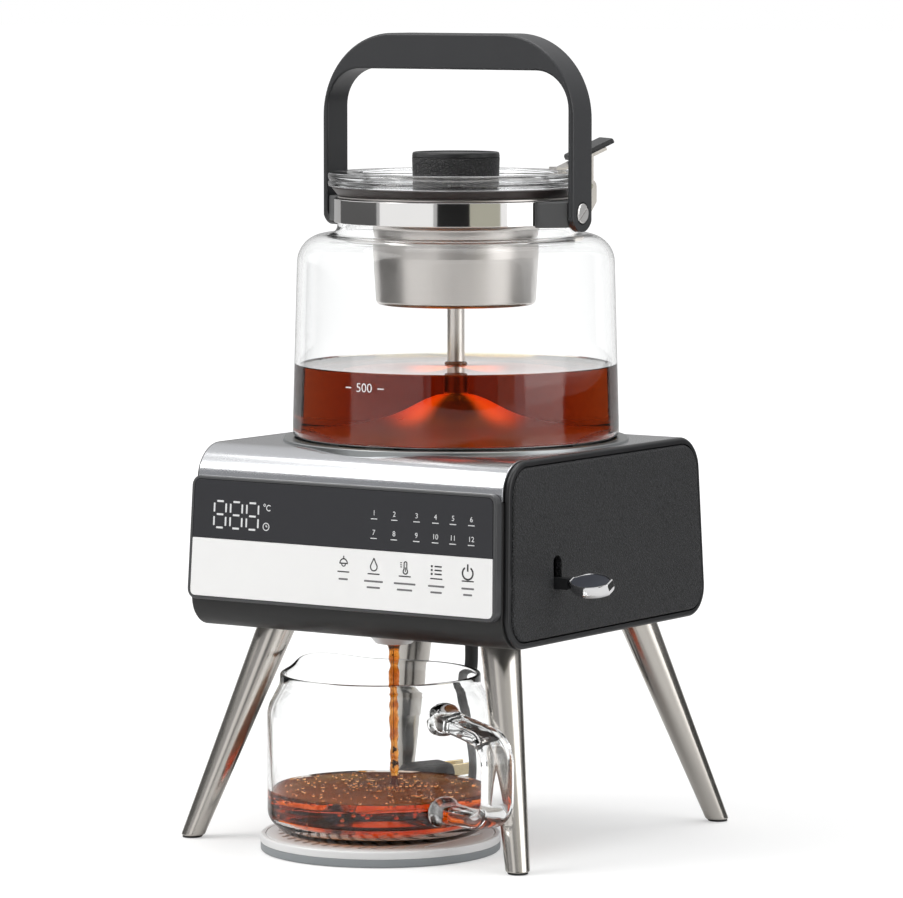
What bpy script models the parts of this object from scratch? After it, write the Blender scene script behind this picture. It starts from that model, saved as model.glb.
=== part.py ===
"""Automatic tea maker: a heated base on splayed legs, a glass kettle with a bail handle and a tea
basket, and a glass pitcher on a drip tray under the spout.

Metres, +Z up, +X to the user's right, -Y towards the user. The origin is the centre of the drip
tray's underside, on the table.
"""
import math

import bmesh
import bpy
from mathutils import Matrix, Vector

# Clearances and facets
GAP = 0.0003
OVERRUN = 0.004
ROUND = 28
MIDDLING = 18
SMALL = 12
TINY = 10
CORNER_STEPS = 4
TURN = 2 * math.pi

# Layout on the table
LEG_HEIGHT = 0.1075
KETTLE_Y = 0.0675
BODY_LEAD = 0.005
BODY_Y = KETTLE_Y - BODY_LEAD

# Body: a hoop of two shells, closed by an end cover on each side
BODY_HEIGHT = 0.091
BODY_DEPTH = 0.181
BODY_LEAN = math.radians(2.0)
HOOP_WIDTH = 0.1766
HOOP_PROUD = 0.002
TOP_CORNER = 0.017
LOW_CORNER = 0.015
COVER_WALL = 0.0016
SHELL_WALL = 0.0026
PARTING_DROP = 0.019
BODY_TOP = LEG_HEIGHT + BODY_HEIGHT
BODY_MIDDLE = LEG_HEIGHT + BODY_HEIGHT / 2
FLOOR = LEG_HEIGHT + SHELL_WALL
LEAN_SLOPE = math.tan(BODY_LEAN)
BODY_FRONT = BODY_Y - BODY_DEPTH / 2
BODY_REAR = BODY_Y + BODY_DEPTH / 2
NOZZLE_INSET = 0.040
TAP_BEHIND_NOZZLE = 0.002
NOZZLE_Y = BODY_FRONT + NOZZLE_INSET
TAP_Y = NOZZLE_Y + TAP_BEHIND_NOZZLE

# End covers and their rims
TRIM_DEPTH = 0.0049
TRIM_EDGE = 0.0024
TRIM_FACE = 0.005
TRIM_LEDGE = 0.003
TRIM_LEDGE_DEPTH = 0.002
GROOVE = 0.0007
COVER_THICK = 0.0036
COVER_EDGE = 0.0016
SLOT_WIDTH = 0.0074
SLOT_HEIGHT = 0.0165
SLOT_CORNER = 0.0015

# Control panel
PANEL_WIDTH = 0.1828
PANEL_HEIGHT = 0.0615
PANEL_DROP = 0.015
PANEL_DEPTH = 0.0046
PANEL_CORNER = 0.0045
PANEL_EDGE = 0.0006
PANEL_RIM = 0.0015
PANEL_POCKET = 0.0018
INSERT_PROUD = 0.0001
WINDOW_SHARE = 0.5

# Boards
PORT_WIDTH = 0.166
PORT_HEIGHT = 0.047
PORT_RISE = 0.020
BOARD = 0.0016
BOARD_LAP = 0.004
DIGITS_WIDTH = 0.030
DIGITS_HEIGHT = 0.018
DIGITS_INSET = 0.003
KEY_SPRING_R = 0.0035
KEY_SPRINGS = 5
KEY_PITCH = 0.0185
KEY_INSET = 0.008
KEY_RISE = 0.0155
POWER_WIDTH = 0.070
POWER_DEPTH = 0.060
POWER_X = -0.045
POWER_Y = 0.075
POST_R = 0.003
POST_HEIGHT = 0.006
POST_INSET = 0.005
POWER_PART_SHARES = ((-0.20, 0.15, 0.38, 0.42, 0.30), (0.30, 0.25, 0.28, 0.30, 0.26),
                     (0.05, -0.38, 0.60, 0.16, 0.18))
POWER_CAN_SHARES = ((0.14, -0.08), (0.36, -0.08))

# Seat and heater
SEAT_HOLE_R = 0.0833
SEAT_COLLAR_WALL = 0.002
SEAT_FLANGE_R = 0.088
SEAT_LIP = 0.0024
SEAT_LIP_SLOPE = 0.0018
SEAT_STEP = 0.0014
SEAT_DEPTH = 0.0085
SEAT_FLOOR = 0.003
SEAT_LEDGE = 0.003
HEATER_R = 0.059
HEATER_PROUD = 0.0017
HEATER_EDGE = 0.0008
ELEMENT_R = 0.038
ELEMENT_TUBE = 0.004
ELEMENT_ARC = math.radians(320)
THERMOSTAT_R = 0.008
THERMOSTAT_BODY_R = 0.006
THERMOSTAT_FLANGE = 0.003
THERMOSTAT_DROP = 0.008

# Drain, valve and spout
DRAIN_R = 0.068
DRAIN_Y = KETTLE_Y - DRAIN_R
CUP_R = 0.007
CUP_WALL = 0.0014
CUP_FLANGE = 0.0013
CUP_FLANGE_THICK = 0.0015
CUP_DEPTH = 0.0136
CUP_FUNNEL = 0.003
SPIGOT_R = 0.0036
SPIGOT_BORE = 0.0022
SPIGOT_LENGTH = 0.008
HOSE_R = 0.0038
HOSE_BORE = 0.0022
HOSE_BEND = 0.011
HOSE_SWING = 0.0092
VALVE_R = 0.010
VALVE_SOCKET_R = 0.008
VALVE_BORE = 0.0054
VALVE_SEAT_R = 0.0035
VALVE_CHAMBER_R = 0.006
VALVE_SOCKET = 0.0018
VALVE_THROAT = 0.0058
VALVE_SEAT = 0.0016
VALVE_CHAMBER = 0.0059
VALVE_CAP = 0.0025
STEM_R = 0.002
STEM_PLAY = 0.0003
HEAD_R = 0.0046
HEAD_THICK = 0.0022
COLLAR_R = 0.005
COLLAR_THICK = 0.0012
COLLAR_PLAY = 0.0012
NOZZLE_TOP_R = 0.0135
NOZZLE_TIP_R = 0.009
NOZZLE_BORE = 0.0036
NOZZLE_FLANGE = 0.0009
NOZZLE_LENGTH = 0.0062
LAMP_BEHIND_NOZZLE = 0.024
LAMP_Y = NOZZLE_Y + LAMP_BEHIND_NOZZLE
LAMP_R = 0.008
LAMP_LIP = 0.0016
LAMP_THICK = 0.001

# Side tap lever
TAP_RISE = 0.0269
TAP_Z = FLOOR + TAP_RISE
TAP_PIVOT_X = 0.024
TAP_BAR = 0.0054
TAP_FORK = 0.003
TAP_FORK_WIDTH = 0.010
TAP_FORK_TIP = -0.0068
TAP_FORK_ROOT = 0.012
TAP_SLOT_R = 0.0025
TAP_PIN_R = 0.0025
TAP_PIN_REACH = 0.009
BRACKET_WIDTH = 0.012
BRACKET_CHEEK = 0.003
BRACKET_GAP = 0.0015
BRACKET_BASE = 0.0026
BRACKET_HEAD = 0.006
TAP_REACH = 0.127
PADDLE_LENGTH = 0.0245
PADDLE_NECK = 0.0070
PADDLE_WIDTH = 0.0165
PADDLE_TIP = 0.0130
PADDLE_SHOULDER_SHARE = 0.45
PADDLE_HEIGHT = 0.0080
PADDLE_CORNER = 0.0025
PADDLE_RIM = 0.0015
PADDLE_POCKET = 0.0014
PADDLE_RISE = 0.0028
PADDLE_KEEL = 0.0022
PADDLE_EDGE_SHARE = 0.35
MOUTH_SHARE = 0.98

# Legs
LEG_SHIFT = 0.0065
LEG_INSET_X = 0.0219
LEG_INSET_Y = 0.028
LEG_SPLAY_X = 0.031
LEG_SPLAY_Y = 0.0318
LEG_MIDDLE_Y = BODY_Y + LEG_SHIFT
LEG_TOP_X = HOOP_WIDTH / 2 - LEG_INSET_X
LEG_TOP_Y = BODY_DEPTH / 2 - LEG_INSET_Y
FOOT_X = LEG_TOP_X + LEG_SPLAY_X
FOOT_Y = LEG_TOP_Y + LEG_SPLAY_Y
LEG_TOP_R = 0.010
LEG_LOW_R = 0.0056
LEG_SPIGOT_R = 0.005
LEG_SPIGOT = 0.007
SOCKET_R = 0.0095
SOCKET_HEIGHT = 0.008
FRAME_BAR = 0.008
FRAME_THICK = 0.0026
FRAME_CROSS_INSET = 0.0135
FRAME_CROSS_Y = LEG_MIDDLE_Y + LEG_TOP_Y - FRAME_CROSS_INSET
FOOT_TIP = 0.003
FOOT_TIP_GROWTH = 0.0002

# Kettle, heights above its underside
KETTLE_R = 0.082
KETTLE_TOP_R = 0.0792
KETTLE_WALL = 0.0023
BASE_THICK = 0.0020
BASE_EDGE = 0.0009
PAN_LIP = 0.0014
PAN_LIP_HEIGHT = 0.0035
SHOULDER_Z = 0.0875
SHOULDER_R = 0.014
NECK_R = 0.0595
NECK_Z = 0.105
NECK_TOP = 0.1193
NECK_ROUND = 0.0020
BAND_WALL = 0.0013
BAND_HEIGHT = 0.0120
BAND_LOW = 0.1072
DRAIN_HOLE_R = 0.005
DRAIN_HEAD_R = 0.0063
DRAIN_HEAD = 0.0016
DRAIN_COLLAR_R = 0.0036
DRAIN_COLLAR = 0.0014
DRAIN_STEM_R = 0.002
DRAIN_STEM = 0.0045

# Brewing parts
BELL_R = 0.057
BELL_WALL = 0.0010
BELL_HEIGHT = 0.0195
TUBE_R = 0.0044
TUBE_WALL = 0.0008
TUBE_TOP = 0.104
TUBE_CAP_R = 0.0075
TUBE_CAP = 0.0015
BASKET_R = 0.0415
BASKET_LOW_R = 0.0400
BASKET_WALL = 0.0008
BASKET_FLOOR = 0.0660
BASKET_STEP = 0.0905
BASKET_CONE = 0.1050
BASKET_CONE_TOP = 0.1120
BASKET_NECK_R = 0.0562
BASKET_RIM_R = 0.0592
BASKET_CORNER = 0.002

# Lid, heights above the seal's underside
SEAL_R = 0.0592
SEAL_TOP_R = 0.0625
SEAL_BORE = 0.0535
SEAL_THICK = 0.0045
LID_R = 0.064
LID_RIM = 0.0070
LID_RIM_WIDTH = 0.0140
LID_RIM_STEP = 0.0066
LID_PLATE = 0.0028
LID_DISH_R = 0.051
LID_GROOVE = 0.0008
LID_HOLE_R = 0.0034
KNOB_R = 0.022
KNOB_FOOT_R = 0.0216
KNOB_HEIGHT = 0.0164
KNOB_RIM = 0.0010
KNOB_RIM_WIDTH = 0.0020
KNOB_DISH = 0.0006
KNOB_BORE = 0.006
KNOB_SCREW_R = 0.003
KNOB_WASHER_R = 0.008
KNOB_WASHER = 0.0018

# Bail handle
HANDLE_REACH = 0.075
HANDLE_RISE = 0.0882
HANDLE_WIDTH = 0.0185
ARM_THICK = 0.0032
BAR_HEIGHT = 0.018
HANDLE_CORNER = 0.042
HANDLE_INNER_CORNER = 0.019
HANDLE_EDGE = 0.0010
PIVOT_RISE = 0.1133
PIVOT_R = 0.0023
PIVOT_HEAD_R = 0.005
PIVOT_HEAD = 0.0016
PIVOT_RECESS = 0.0012
PIVOT_DEPTH = 0.0075
SCREW_SLOT_TURN = math.radians(50)
BOSS_SPREAD = math.radians(17)
BOSS_HEIGHT = 0.0128
BOSS_LOW = 0.1064
BOSS_EDGE = 0.0009

# Lid hinge and thumb lever, in the plane that holds the lid's axis
HINGE_TURN = math.radians(52)
HINGE_OUT = 0.0085
HINGE_R = NECK_R + HINGE_OUT
HINGE_OVER_NECK = 0.0052
HINGE_RISE = NECK_TOP + HINGE_OVER_NECK
HINGE_PIN_R = 0.0015
HINGE_PIN_LENGTH = 0.0210
EAR_R = 0.0036
EAR_THICK = 0.0030
HINGE_WIDTH = 0.0190
HINGE_FOOT_STEP = 0.001
HINGE_SHELF_DROP = 0.008
HINGE_FOOT = BAND_LOW + HINGE_FOOT_STEP
HINGE_SHELF = HINGE_RISE - HINGE_SHELF_DROP
KNUCKLE_R = 0.0032
STRIP_WIDTH = 0.012
STRIP_THICK = 0.0015
STRIP_INNER = 0.0515
STRIP_RISE = math.radians(24)
STRIP_BEND = 0.0560
STRIP_REACH = 0.0785
PADDLE_TAB_START = 0.0620
PADDLE_TAB_REACH = 0.0825
PADDLE_TAB_WIDTH = 0.018
PADDLE_TAB_THICK = 0.0030

# Drip tray
TRAY_R = 0.0595
TRAY_HEIGHT = 0.008
TRAY_WALL = 0.0026
TRAY_FLOOR = 0.0016
TRAY_EDGE = 0.0008
GRILLE_THICK = 0.0024
GRILLE_LEDGE = 0.0026
GRILLE_SLOTS = 7
GRILLE_SLOT = 0.0045
GRILLE_PITCH = 0.0125
GRILLE_MARGIN = 0.008

# Pitcher, heights above its underside
PITCHER_R = 0.056
PITCHER_RIM_R = 0.0495
PITCHER_WALL = 0.0022
PITCHER_FLOOR = 0.0040
PITCHER_HEEL = 0.012
PITCHER_SHOULDER = 0.062
PITCHER_HEIGHT = 0.0795
PITCHER_LIP = 0.0016
SPOUT_TURN = math.radians(158)
SPOUT_REACH = 0.0115
SPOUT_RISE = 0.0030
SPOUT_SPREAD = math.radians(20)
SPOUT_ROOT_SHARE = 0.72
GRIP_TURN = math.radians(-22)
GRIP_REACH = 0.110
GRIP_TOP = 0.0620
GRIP_LOW = 0.0200
GRIP_THICK = 0.0085
GRIP_WIDTH = 0.0120
GRIP_CORNER = 0.018
GRIP_HEEL = 0.022
GRIP_STEPS = 5

# Mains lead, from the gland down to the coil under the body
CORD_R = 0.0035
CORD_SIDES = 2
COIL_SIDES = 1
GLAND_X = -0.034
GLAND_INSET = 0.0195
GLAND_Y = BODY_REAR - GLAND_INSET
GLAND_LENGTH = 0.0222
GLAND_R = 0.0072
GLAND_TIP_R = 0.0048
GLAND_HEAD_R = 0.0095
GLAND_HEAD = 0.0030
GLAND_NECK_R = 0.0060
COIL_X = -0.057
COIL_Y = 0.0915
COIL_R = 0.042
COIL_PITCH = 0.0075
COIL_START = 0.0
COIL_TURNS = 3 + 210 / 360
COIL_CLIMB = 0.5
COIL_NUDGE = 1 / 360
LOOP_POINTS = 24
TAIL = 0.020
PLUG_RELIEF = 0.010
PLUG_LENGTH = 0.028
PLUG_WIDTH = 0.024
PLUG_HEIGHT = 0.0165
PLUG_NOSE = 0.0015
PLUG_CORNER = 0.004
BLADE_LENGTH = 0.0165
BLADE_WIDTH = 0.0063
BLADE_THICK = 0.0015
BLADE_SPREAD = 0.0127
EARTH_R = 0.0024
EARTH_DROP = 0.0118
EARTH_EXTRA = 0.0020
LEAD_ROUTE = (
    (-0.0340, 0.1335, 0.0770),
    (-0.0343, 0.1330, 0.0690),
    (-0.0342, 0.1328, 0.0610),
    (-0.0331, 0.1331, 0.0530),
    (-0.0310, 0.1335, 0.0450),
    (-0.0282, 0.1333, 0.0372),
    (-0.0250, 0.1316, 0.0299),
    (-0.0218, 0.1280, 0.0233),
    (-0.0190, 0.1224, 0.0178),
    (-0.0167, 0.1150, 0.0136),
    (-0.01535, 0.1064, 0.01135),
)
LEAD_STEPS = 2


def clear():
    for thing in list(bpy.data.objects):
        bpy.data.objects.remove(thing, do_unlink=True)


def finish(name, colour, roughness, metallic=0.0, transmission=0.0):
    """A material with the colour and gloss of one of the maker's surfaces."""
    made = bpy.data.materials.new(name)
    made.use_nodes = True
    shader = made.node_tree.nodes["Principled BSDF"]
    shader.inputs["Base Color"].default_value = (*colour, 1)
    shader.inputs["Roughness"].default_value = roughness
    shader.inputs["Metallic"].default_value = metallic
    shader.inputs["Transmission Weight"].default_value = transmission
    made.diffuse_color = (*colour, 1)
    return made


clear()
SILVER = finish("satin_silver", (0.55, 0.56, 0.58), 0.30, 1.0)
STEEL = finish("brushed_steel", (0.58, 0.56, 0.53), 0.28, 1.0)
MIRROR_STEEL = finish("polished_steel", (0.80, 0.80, 0.80), 0.08, 1.0)
CHROME = finish("chrome", (0.85, 0.85, 0.86), 0.05, 1.0)
SHELL_BLACK = finish("shell_black", (0.022, 0.022, 0.023), 0.45)
RIM_BLACK = finish("rim_black", (0.030, 0.031, 0.033), 0.35)
GRAIN_BLACK = finish("grained_black", (0.036, 0.038, 0.041), 0.60)
HANDLE_GREY = finish("handle_charcoal", (0.042, 0.043, 0.046), 0.40)
BOSS_GREY = finish("boss_grey", (0.075, 0.076, 0.078), 0.50)
WINDOW_GREY = finish("window_charcoal", (0.045, 0.047, 0.055), 0.25)
PALE_PLATE = finish("touch_white", (0.90, 0.90, 0.89), 0.40)
GLASS = finish("clear_glass", (0.97, 0.98, 0.98), 0.02, 0.0, 1.0)
LENS = finish("lamp_clear", (0.95, 0.93, 0.88), 0.15, 0.0, 1.0)
BOARD_GREEN = finish("board_green", (0.02, 0.11, 0.05), 0.50)
HEATER_GREY = finish("heater_aluminium", (0.35, 0.35, 0.36), 0.45, 1.0)
RUBBER = finish("black_rubber", (0.018, 0.018, 0.018), 0.75)
SILICONE = finish("silicone", (0.60, 0.60, 0.58), 0.50)
WHITE_PLASTIC = finish("inner_white", (0.62, 0.61, 0.58), 0.50)
TRAY_GREY = finish("tray_grey", (0.46, 0.47, 0.48), 0.40)
LEAD_BLACK = finish("lead_black", (0.016, 0.016, 0.017), 0.55)


def joint(name, at, parent=None):
    """An empty on a joint's axis that carries everything that moves with it."""
    empty = bpy.data.objects.new(name, None)
    bpy.context.collection.objects.link(empty)
    empty["home"] = at
    inner = Vector(parent["home"]) if parent else Vector()
    empty.parent = parent
    empty.location = Vector(at) - inner
    return empty


def add(name, bm, look, at=(0, 0, 0), on=None, turn=0.0, tilt=0.0, crease=35):
    """Turn a bmesh into a named object standing at a place, carried by a joint's empty."""
    mesh = bpy.data.meshes.new(name)
    bm.to_mesh(mesh)
    bm.free()
    mesh.materials.append(look)
    mesh.shade_smooth()
    mesh.set_sharp_from_angle(angle=math.radians(crease))
    thing = bpy.data.objects.new(name, mesh)
    bpy.context.collection.objects.link(thing)
    thing.parent = on
    thing.location = Vector(at) - (Vector(on["home"]) if on else Vector())
    thing.rotation_euler = (tilt, 0, turn)
    return thing


def boolean(piece, tool, kind):
    """Cut or join a piece with a hidden guide solid, which moves with the piece."""
    tool.hide_render = True
    tool.display_type = "WIRE"
    change = piece.modifiers.new(tool.name, "BOOLEAN")
    change.operation = kind
    change.solver = "EXACT"
    change.object = tool


def circle(radius, sides, at=(0, 0), height=0.0):
    """Points of a level circle."""
    steps = [TURN * i / sides for i in range(sides)]
    return [(at[0] + radius * math.cos(a), at[1] + radius * math.sin(a), height) for a in steps]


def arc_points(centre, radius, start, end, steps):
    """Points of an arc between two angles in degrees."""
    turns = [math.radians(start + (end - start) * k / steps) for k in range(steps + 1)]
    return [(centre[0] + radius * math.cos(a), centre[1] + radius * math.sin(a)) for a in turns]


def loft(loops, ring=False):
    """A closed solid through outlines with equal numbers of points, capped at its ends or joined up."""
    bm = bmesh.new()
    row = [bm.verts.new(p) for p in loops[0]]
    edges = [bm.edges.new((row[i - 1], row[i])) for i in range(len(row))]
    if not ring:
        bm.faces.new(row)
    for loop in list(loops[1:]) + ([loops[0]] if ring else []):
        made = bmesh.ops.extrude_edge_only(bm, edges=edges)["geom"]
        fresh = {v for v in made if isinstance(v, bmesh.types.BMVert)}
        row = [next(e.other_vert(v) for e in v.link_edges if e.other_vert(v) in fresh) for v in row]
        for vert, place in zip(row, loop):
            vert.co = place
        edges = [e for e in made if isinstance(e, bmesh.types.BMEdge) and set(e.verts) <= fresh]
    if not ring:
        bm.faces.new(row)
    bmesh.ops.remove_doubles(bm, verts=bm.verts, dist=GAP / 100)
    bmesh.ops.recalc_face_normals(bm, faces=bm.faces)
    return bm


def turned(profile, sides=ROUND, arc=TURN):
    """A solid of revolution about Z from a closed outline of (radius, height) points."""
    bm = bmesh.new()
    verts = [bm.verts.new((r, 0, z)) for r, z in profile]
    pairs = [(a, b) for a, b in zip(verts, verts[1:] + verts[:1]) if a.co.x > 0 or b.co.x > 0]
    edges = [bm.edges.new(pair) for pair in pairs]
    whole = arc == TURN
    if not whole:
        bm.faces.new(verts)
    made = bmesh.ops.spin(bm, geom=verts + edges, cent=(0, 0, 0), axis=(0, 0, 1), angle=arc,
                          steps=sides, use_merge=whole)
    if not whole:
        bm.faces.new([v for v in made["geom_last"] if isinstance(v, bmesh.types.BMVert)])
    bmesh.ops.remove_doubles(bm, verts=bm.verts, dist=GAP / 100)
    bmesh.ops.recalc_face_normals(bm, faces=bm.faces)
    return bm


def inset(corners, distance):
    """Move the sides of a convex outline inwards."""
    count = len(corners)
    moved = []
    for i in range(count):
        before, here, after = (Vector(corners[(i + k) % count]) for k in (-1, 0, 1))
        one = (here - before).normalized()
        two = (after - here).normalized()
        normal_one = Vector((-one.y, one.x))
        normal_two = Vector((-two.y, two.x))
        moved.append(here + (normal_one + normal_two) * distance / (1 + normal_one.dot(normal_two)))
    return moved


def rounded(corners, radii, steps=CORNER_STEPS, distance=0.0):
    """A convex outline with its corners rounded, moved inwards by a distance."""
    points = []
    spots = inset(corners, distance)
    for i, here in enumerate(spots):
        radius = max(radii[i] - distance, GAP)
        one = (spots[i - 1] - here).normalized()
        two = (spots[(i + 1) % len(spots)] - here).normalized()
        half = one.angle(two) / 2
        centre = here + (one + two).normalized() * radius / math.sin(half)
        start = here + one * radius / math.tan(half) - centre
        sweep = math.pi - 2 * half
        for k in range(steps + 1):
            points.append(centre + Matrix.Rotation(sweep * k / steps, 2) @ start)
    return points


def stack(corners, radii, levels, place, ring=False, steps=CORNER_STEPS):
    """A solid of rounded outlines, one for each (inset, level) pair, put in space by a function."""
    loops = []
    for distance, level in levels:
        loops.append([place(p.x, p.y, level) for p in rounded(corners, radii, steps, distance)])
    return loft(loops, ring)


def rectangle(width, height, middle=(0, 0)):
    x, y = middle
    w, h = width / 2, height / 2
    return [(x - w, y - h), (x + w, y - h), (x + w, y + h), (x - w, y + h)]


def block(low, high):
    """A plain box between two corners."""
    corners = rectangle(high[0] - low[0], high[1] - low[1], ((low[0] + high[0]) / 2, (low[1] + high[1]) / 2))
    return loft([[(x, y, z) for x, y in corners] for z in (low[2], high[2])])


def prism(outline, low, high, place):
    """An outline carried from one level to another."""
    return loft([[place(u, v, level) for u, v in outline] for level in (low, high)])


def across(u, v, level):
    """Outline in (Y, Z), level along X."""
    return (level, u, v)


def along(u, v, level):
    """Outline in (X, Z), level along Y."""
    return (u, level, v)


def upward(u, v, level):
    """Outline in (X, Y), level along Z."""
    return (u, v, level)


def rod(radius, low, high, place, middle=(0, 0), sides=SMALL):
    """A round bar along one of the axes."""
    return prism([(x, y) for x, y, _ in circle(radius, sides, middle)], low, high, place)


def joined(*parts):
    """Several separate solids in one bmesh."""
    whole = bmesh.new()
    for part in parts:
        mesh = bpy.data.meshes.new("part")
        part.to_mesh(mesh)
        part.free()
        whole.from_mesh(mesh)
        bpy.data.meshes.remove(mesh)
    return whole


def moved(bm, offset):
    bmesh.ops.translate(bm, verts=bm.verts, vec=offset)
    return bm


def bead(radius, tube, height, sides=8):
    """Outline of a round section for turning."""
    return [(radius + r, height + z) for r, z, _ in circle(tube, sides)]


def smooth_route(points, steps):
    """Points on one smooth curve through the route's own points."""
    spots = [Vector(p) for p in points]
    ends = [2 * spots[0] - spots[1]] + spots + [2 * spots[-1] - spots[-2]]
    curve = [spots[0]]
    for a, b, c, d in zip(ends, ends[1:], ends[2:], ends[3:]):
        for k in range(1, steps + 1):
            t = k / steps
            bend = (2 * a - 5 * b + 4 * c - d) * t * t + (3 * b - a - 3 * c + d) * t ** 3
            curve.append((2 * b + (c - a) * t + bend) / 2)
    return curve


def tube(name, points, radius, sides, look, on=None):
    """A round tube along points, as a bevelled curve with filled caps."""
    curve = bpy.data.curves.new(name, "CURVE")
    curve.dimensions = "3D"
    curve.bevel_depth = radius
    curve.bevel_resolution = sides
    curve.use_fill_caps = True
    line = curve.splines.new("POLY")
    line.points.add(len(points) - 1)
    for spot, place in zip(line.points, points):
        spot.co = (*place, 1)
    curve.materials.append(look)
    thing = bpy.data.objects.new(name, curve)
    bpy.context.collection.objects.link(thing)
    thing.parent = on
    return thing


# Levels that the sizes above give
HEATER_TOP = BODY_TOP + HEATER_PROUD
KETTLE_Z = HEATER_TOP + GAP
PIVOT_Z = KETTLE_Z + PIVOT_RISE
HINGE_Z = KETTLE_Z + HINGE_RISE
HINGE_SPOT = Vector((HINGE_R * math.cos(HINGE_TURN), HINGE_R * math.sin(HINGE_TURN), 0))
BASKET_LIP_Z = NECK_TOP + GAP
LID_Z = KETTLE_Z + BASKET_LIP_Z + BASKET_WALL + GAP
SEAT_FLOOR_Z = BODY_TOP - SEAT_DEPTH
GRILLE_Z = TRAY_HEIGHT - GRILLE_THICK
PITCHER_Z = TRAY_HEIGHT + GAP
COIL_LOW = CORD_R

BASE = joint("base", (0, 0, 0))
KETTLE = joint("kettle", (0, KETTLE_Y, KETTLE_Z))
HANDLE = joint("handle_pivot", (0, KETTLE_Y, PIVOT_Z), KETTLE)
LID = joint("lid_pivot", Vector((0, KETTLE_Y, HINGE_Z)) + HINGE_SPOT, KETTLE)
TAP = joint("tap_pivot", (TAP_PIVOT_X, TAP_Y, TAP_Z), BASE)
PLUNGER = joint("plunger_guide", (0, NOZZLE_Y, FLOOR), BASE)
TRAY = joint("tray_runner", (0, 0, 0), BASE)
PITCHER = joint("pitcher_place", (0, 0, PITCHER_Z), TRAY)


def body_corners(proud=0.0):
    """The body's side outline, wider at the bottom by its lean."""
    lean = LEAN_SLOPE * BODY_HEIGHT / 2
    low = BODY_DEPTH / 2 + lean + proud
    top = BODY_DEPTH / 2 - lean + proud
    return [(-low, LEG_HEIGHT), (low, LEG_HEIGHT), (top, BODY_TOP), (-top, BODY_TOP)]


BODY_RADII = (LOW_CORNER, LOW_CORNER, TOP_CORNER, TOP_CORNER)
PARTING = BODY_TOP - PARTING_DROP


def hoop(wall, upper):
    """The part of the body's hoop above or below the parting line."""
    half = HOOP_WIDTH / 2
    levels = ((0, -half), (0, half), (wall, half), (wall, -half))
    bm = stack(body_corners(HOOP_PROUD), BODY_RADII, levels, across, ring=True)
    level = PARTING + (GAP / 2 if upper else -GAP / 2)
    bmesh.ops.bisect_plane(bm, geom=bm.verts[:] + bm.edges[:] + bm.faces[:], plane_co=(0, 0, level),
                           plane_no=(0, 0, 1), clear_inner=upper, clear_outer=not upper)
    bmesh.ops.holes_fill(bm, edges=[e for e in bm.edges if e.is_boundary], sides=8)
    bmesh.ops.recalc_face_normals(bm, faces=bm.faces)
    return bm


def front_face(height):
    """Y of the hoop's front face at a height."""
    lean = LEAN_SLOPE * (BODY_MIDDLE - height)
    return BODY_Y - (BODY_DEPTH / 2 + lean + HOOP_PROUD)


def cutter(name, bm, at=(0, 0, 0), on=None, tilt=0.0, turn=0.0):
    return add(name, bm, SHELL_BLACK, at, on, turn, tilt)


def leg_spots(x, y):
    """The four corners of a leg pattern, with their names."""
    for end, sign_y in (("front", -1), ("rear", 1)):
        for side, sign_x in (("left", -1), ("right", 1)):
            yield f"{end}_{side}", sign_x * x, LEG_MIDDLE_Y + sign_y * y


def build_body():
    cover = add("top_cover", hoop(COVER_WALL, True), SILVER, (0, BODY_Y, 0), BASE)
    hole = rod(SEAT_HOLE_R, BODY_TOP - PARTING_DROP / 2, BODY_TOP + OVERRUN, upward, sides=ROUND)
    boolean(cover, cutter("cut_seat", hole, (0, KETTLE_Y, 0), BASE), "DIFFERENCE")

    shell = add("lower_shell", hoop(SHELL_WALL, False), SHELL_BLACK, (0, BODY_Y, 0), BASE)
    low, high = LEG_HEIGHT - OVERRUN, FLOOR + OVERRUN
    holes = [rod(LEG_SPIGOT_R + GAP, low, high, upward, (x, y), SMALL)
             for _, x, y in leg_spots(LEG_TOP_X, LEG_TOP_Y)]
    holes.append(rod(VALVE_SOCKET_R - GAP, low, high, upward, (0, NOZZLE_Y), MIDDLING))
    holes.append(rod(LAMP_R + GAP, low, high, upward, (0, LAMP_Y), MIDDLING))
    holes.append(rod(GLAND_NECK_R + GAP, low, high, upward, (GLAND_X, GLAND_Y), SMALL))
    boolean(shell, cutter("cut_floor", joined(*holes), on=BASE), "DIFFERENCE")
    port = block((-PORT_WIDTH / 2, -OVERRUN, 0), (PORT_WIDTH / 2, SHELL_WALL + OVERRUN, PORT_HEIGHT))
    port_z = LEG_HEIGHT + PORT_RISE
    spot = (0, front_face(port_z), port_z)
    boolean(shell, cutter("cut_port", port, spot, BASE, tilt=-BODY_LEAN), "DIFFERENCE")


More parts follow.
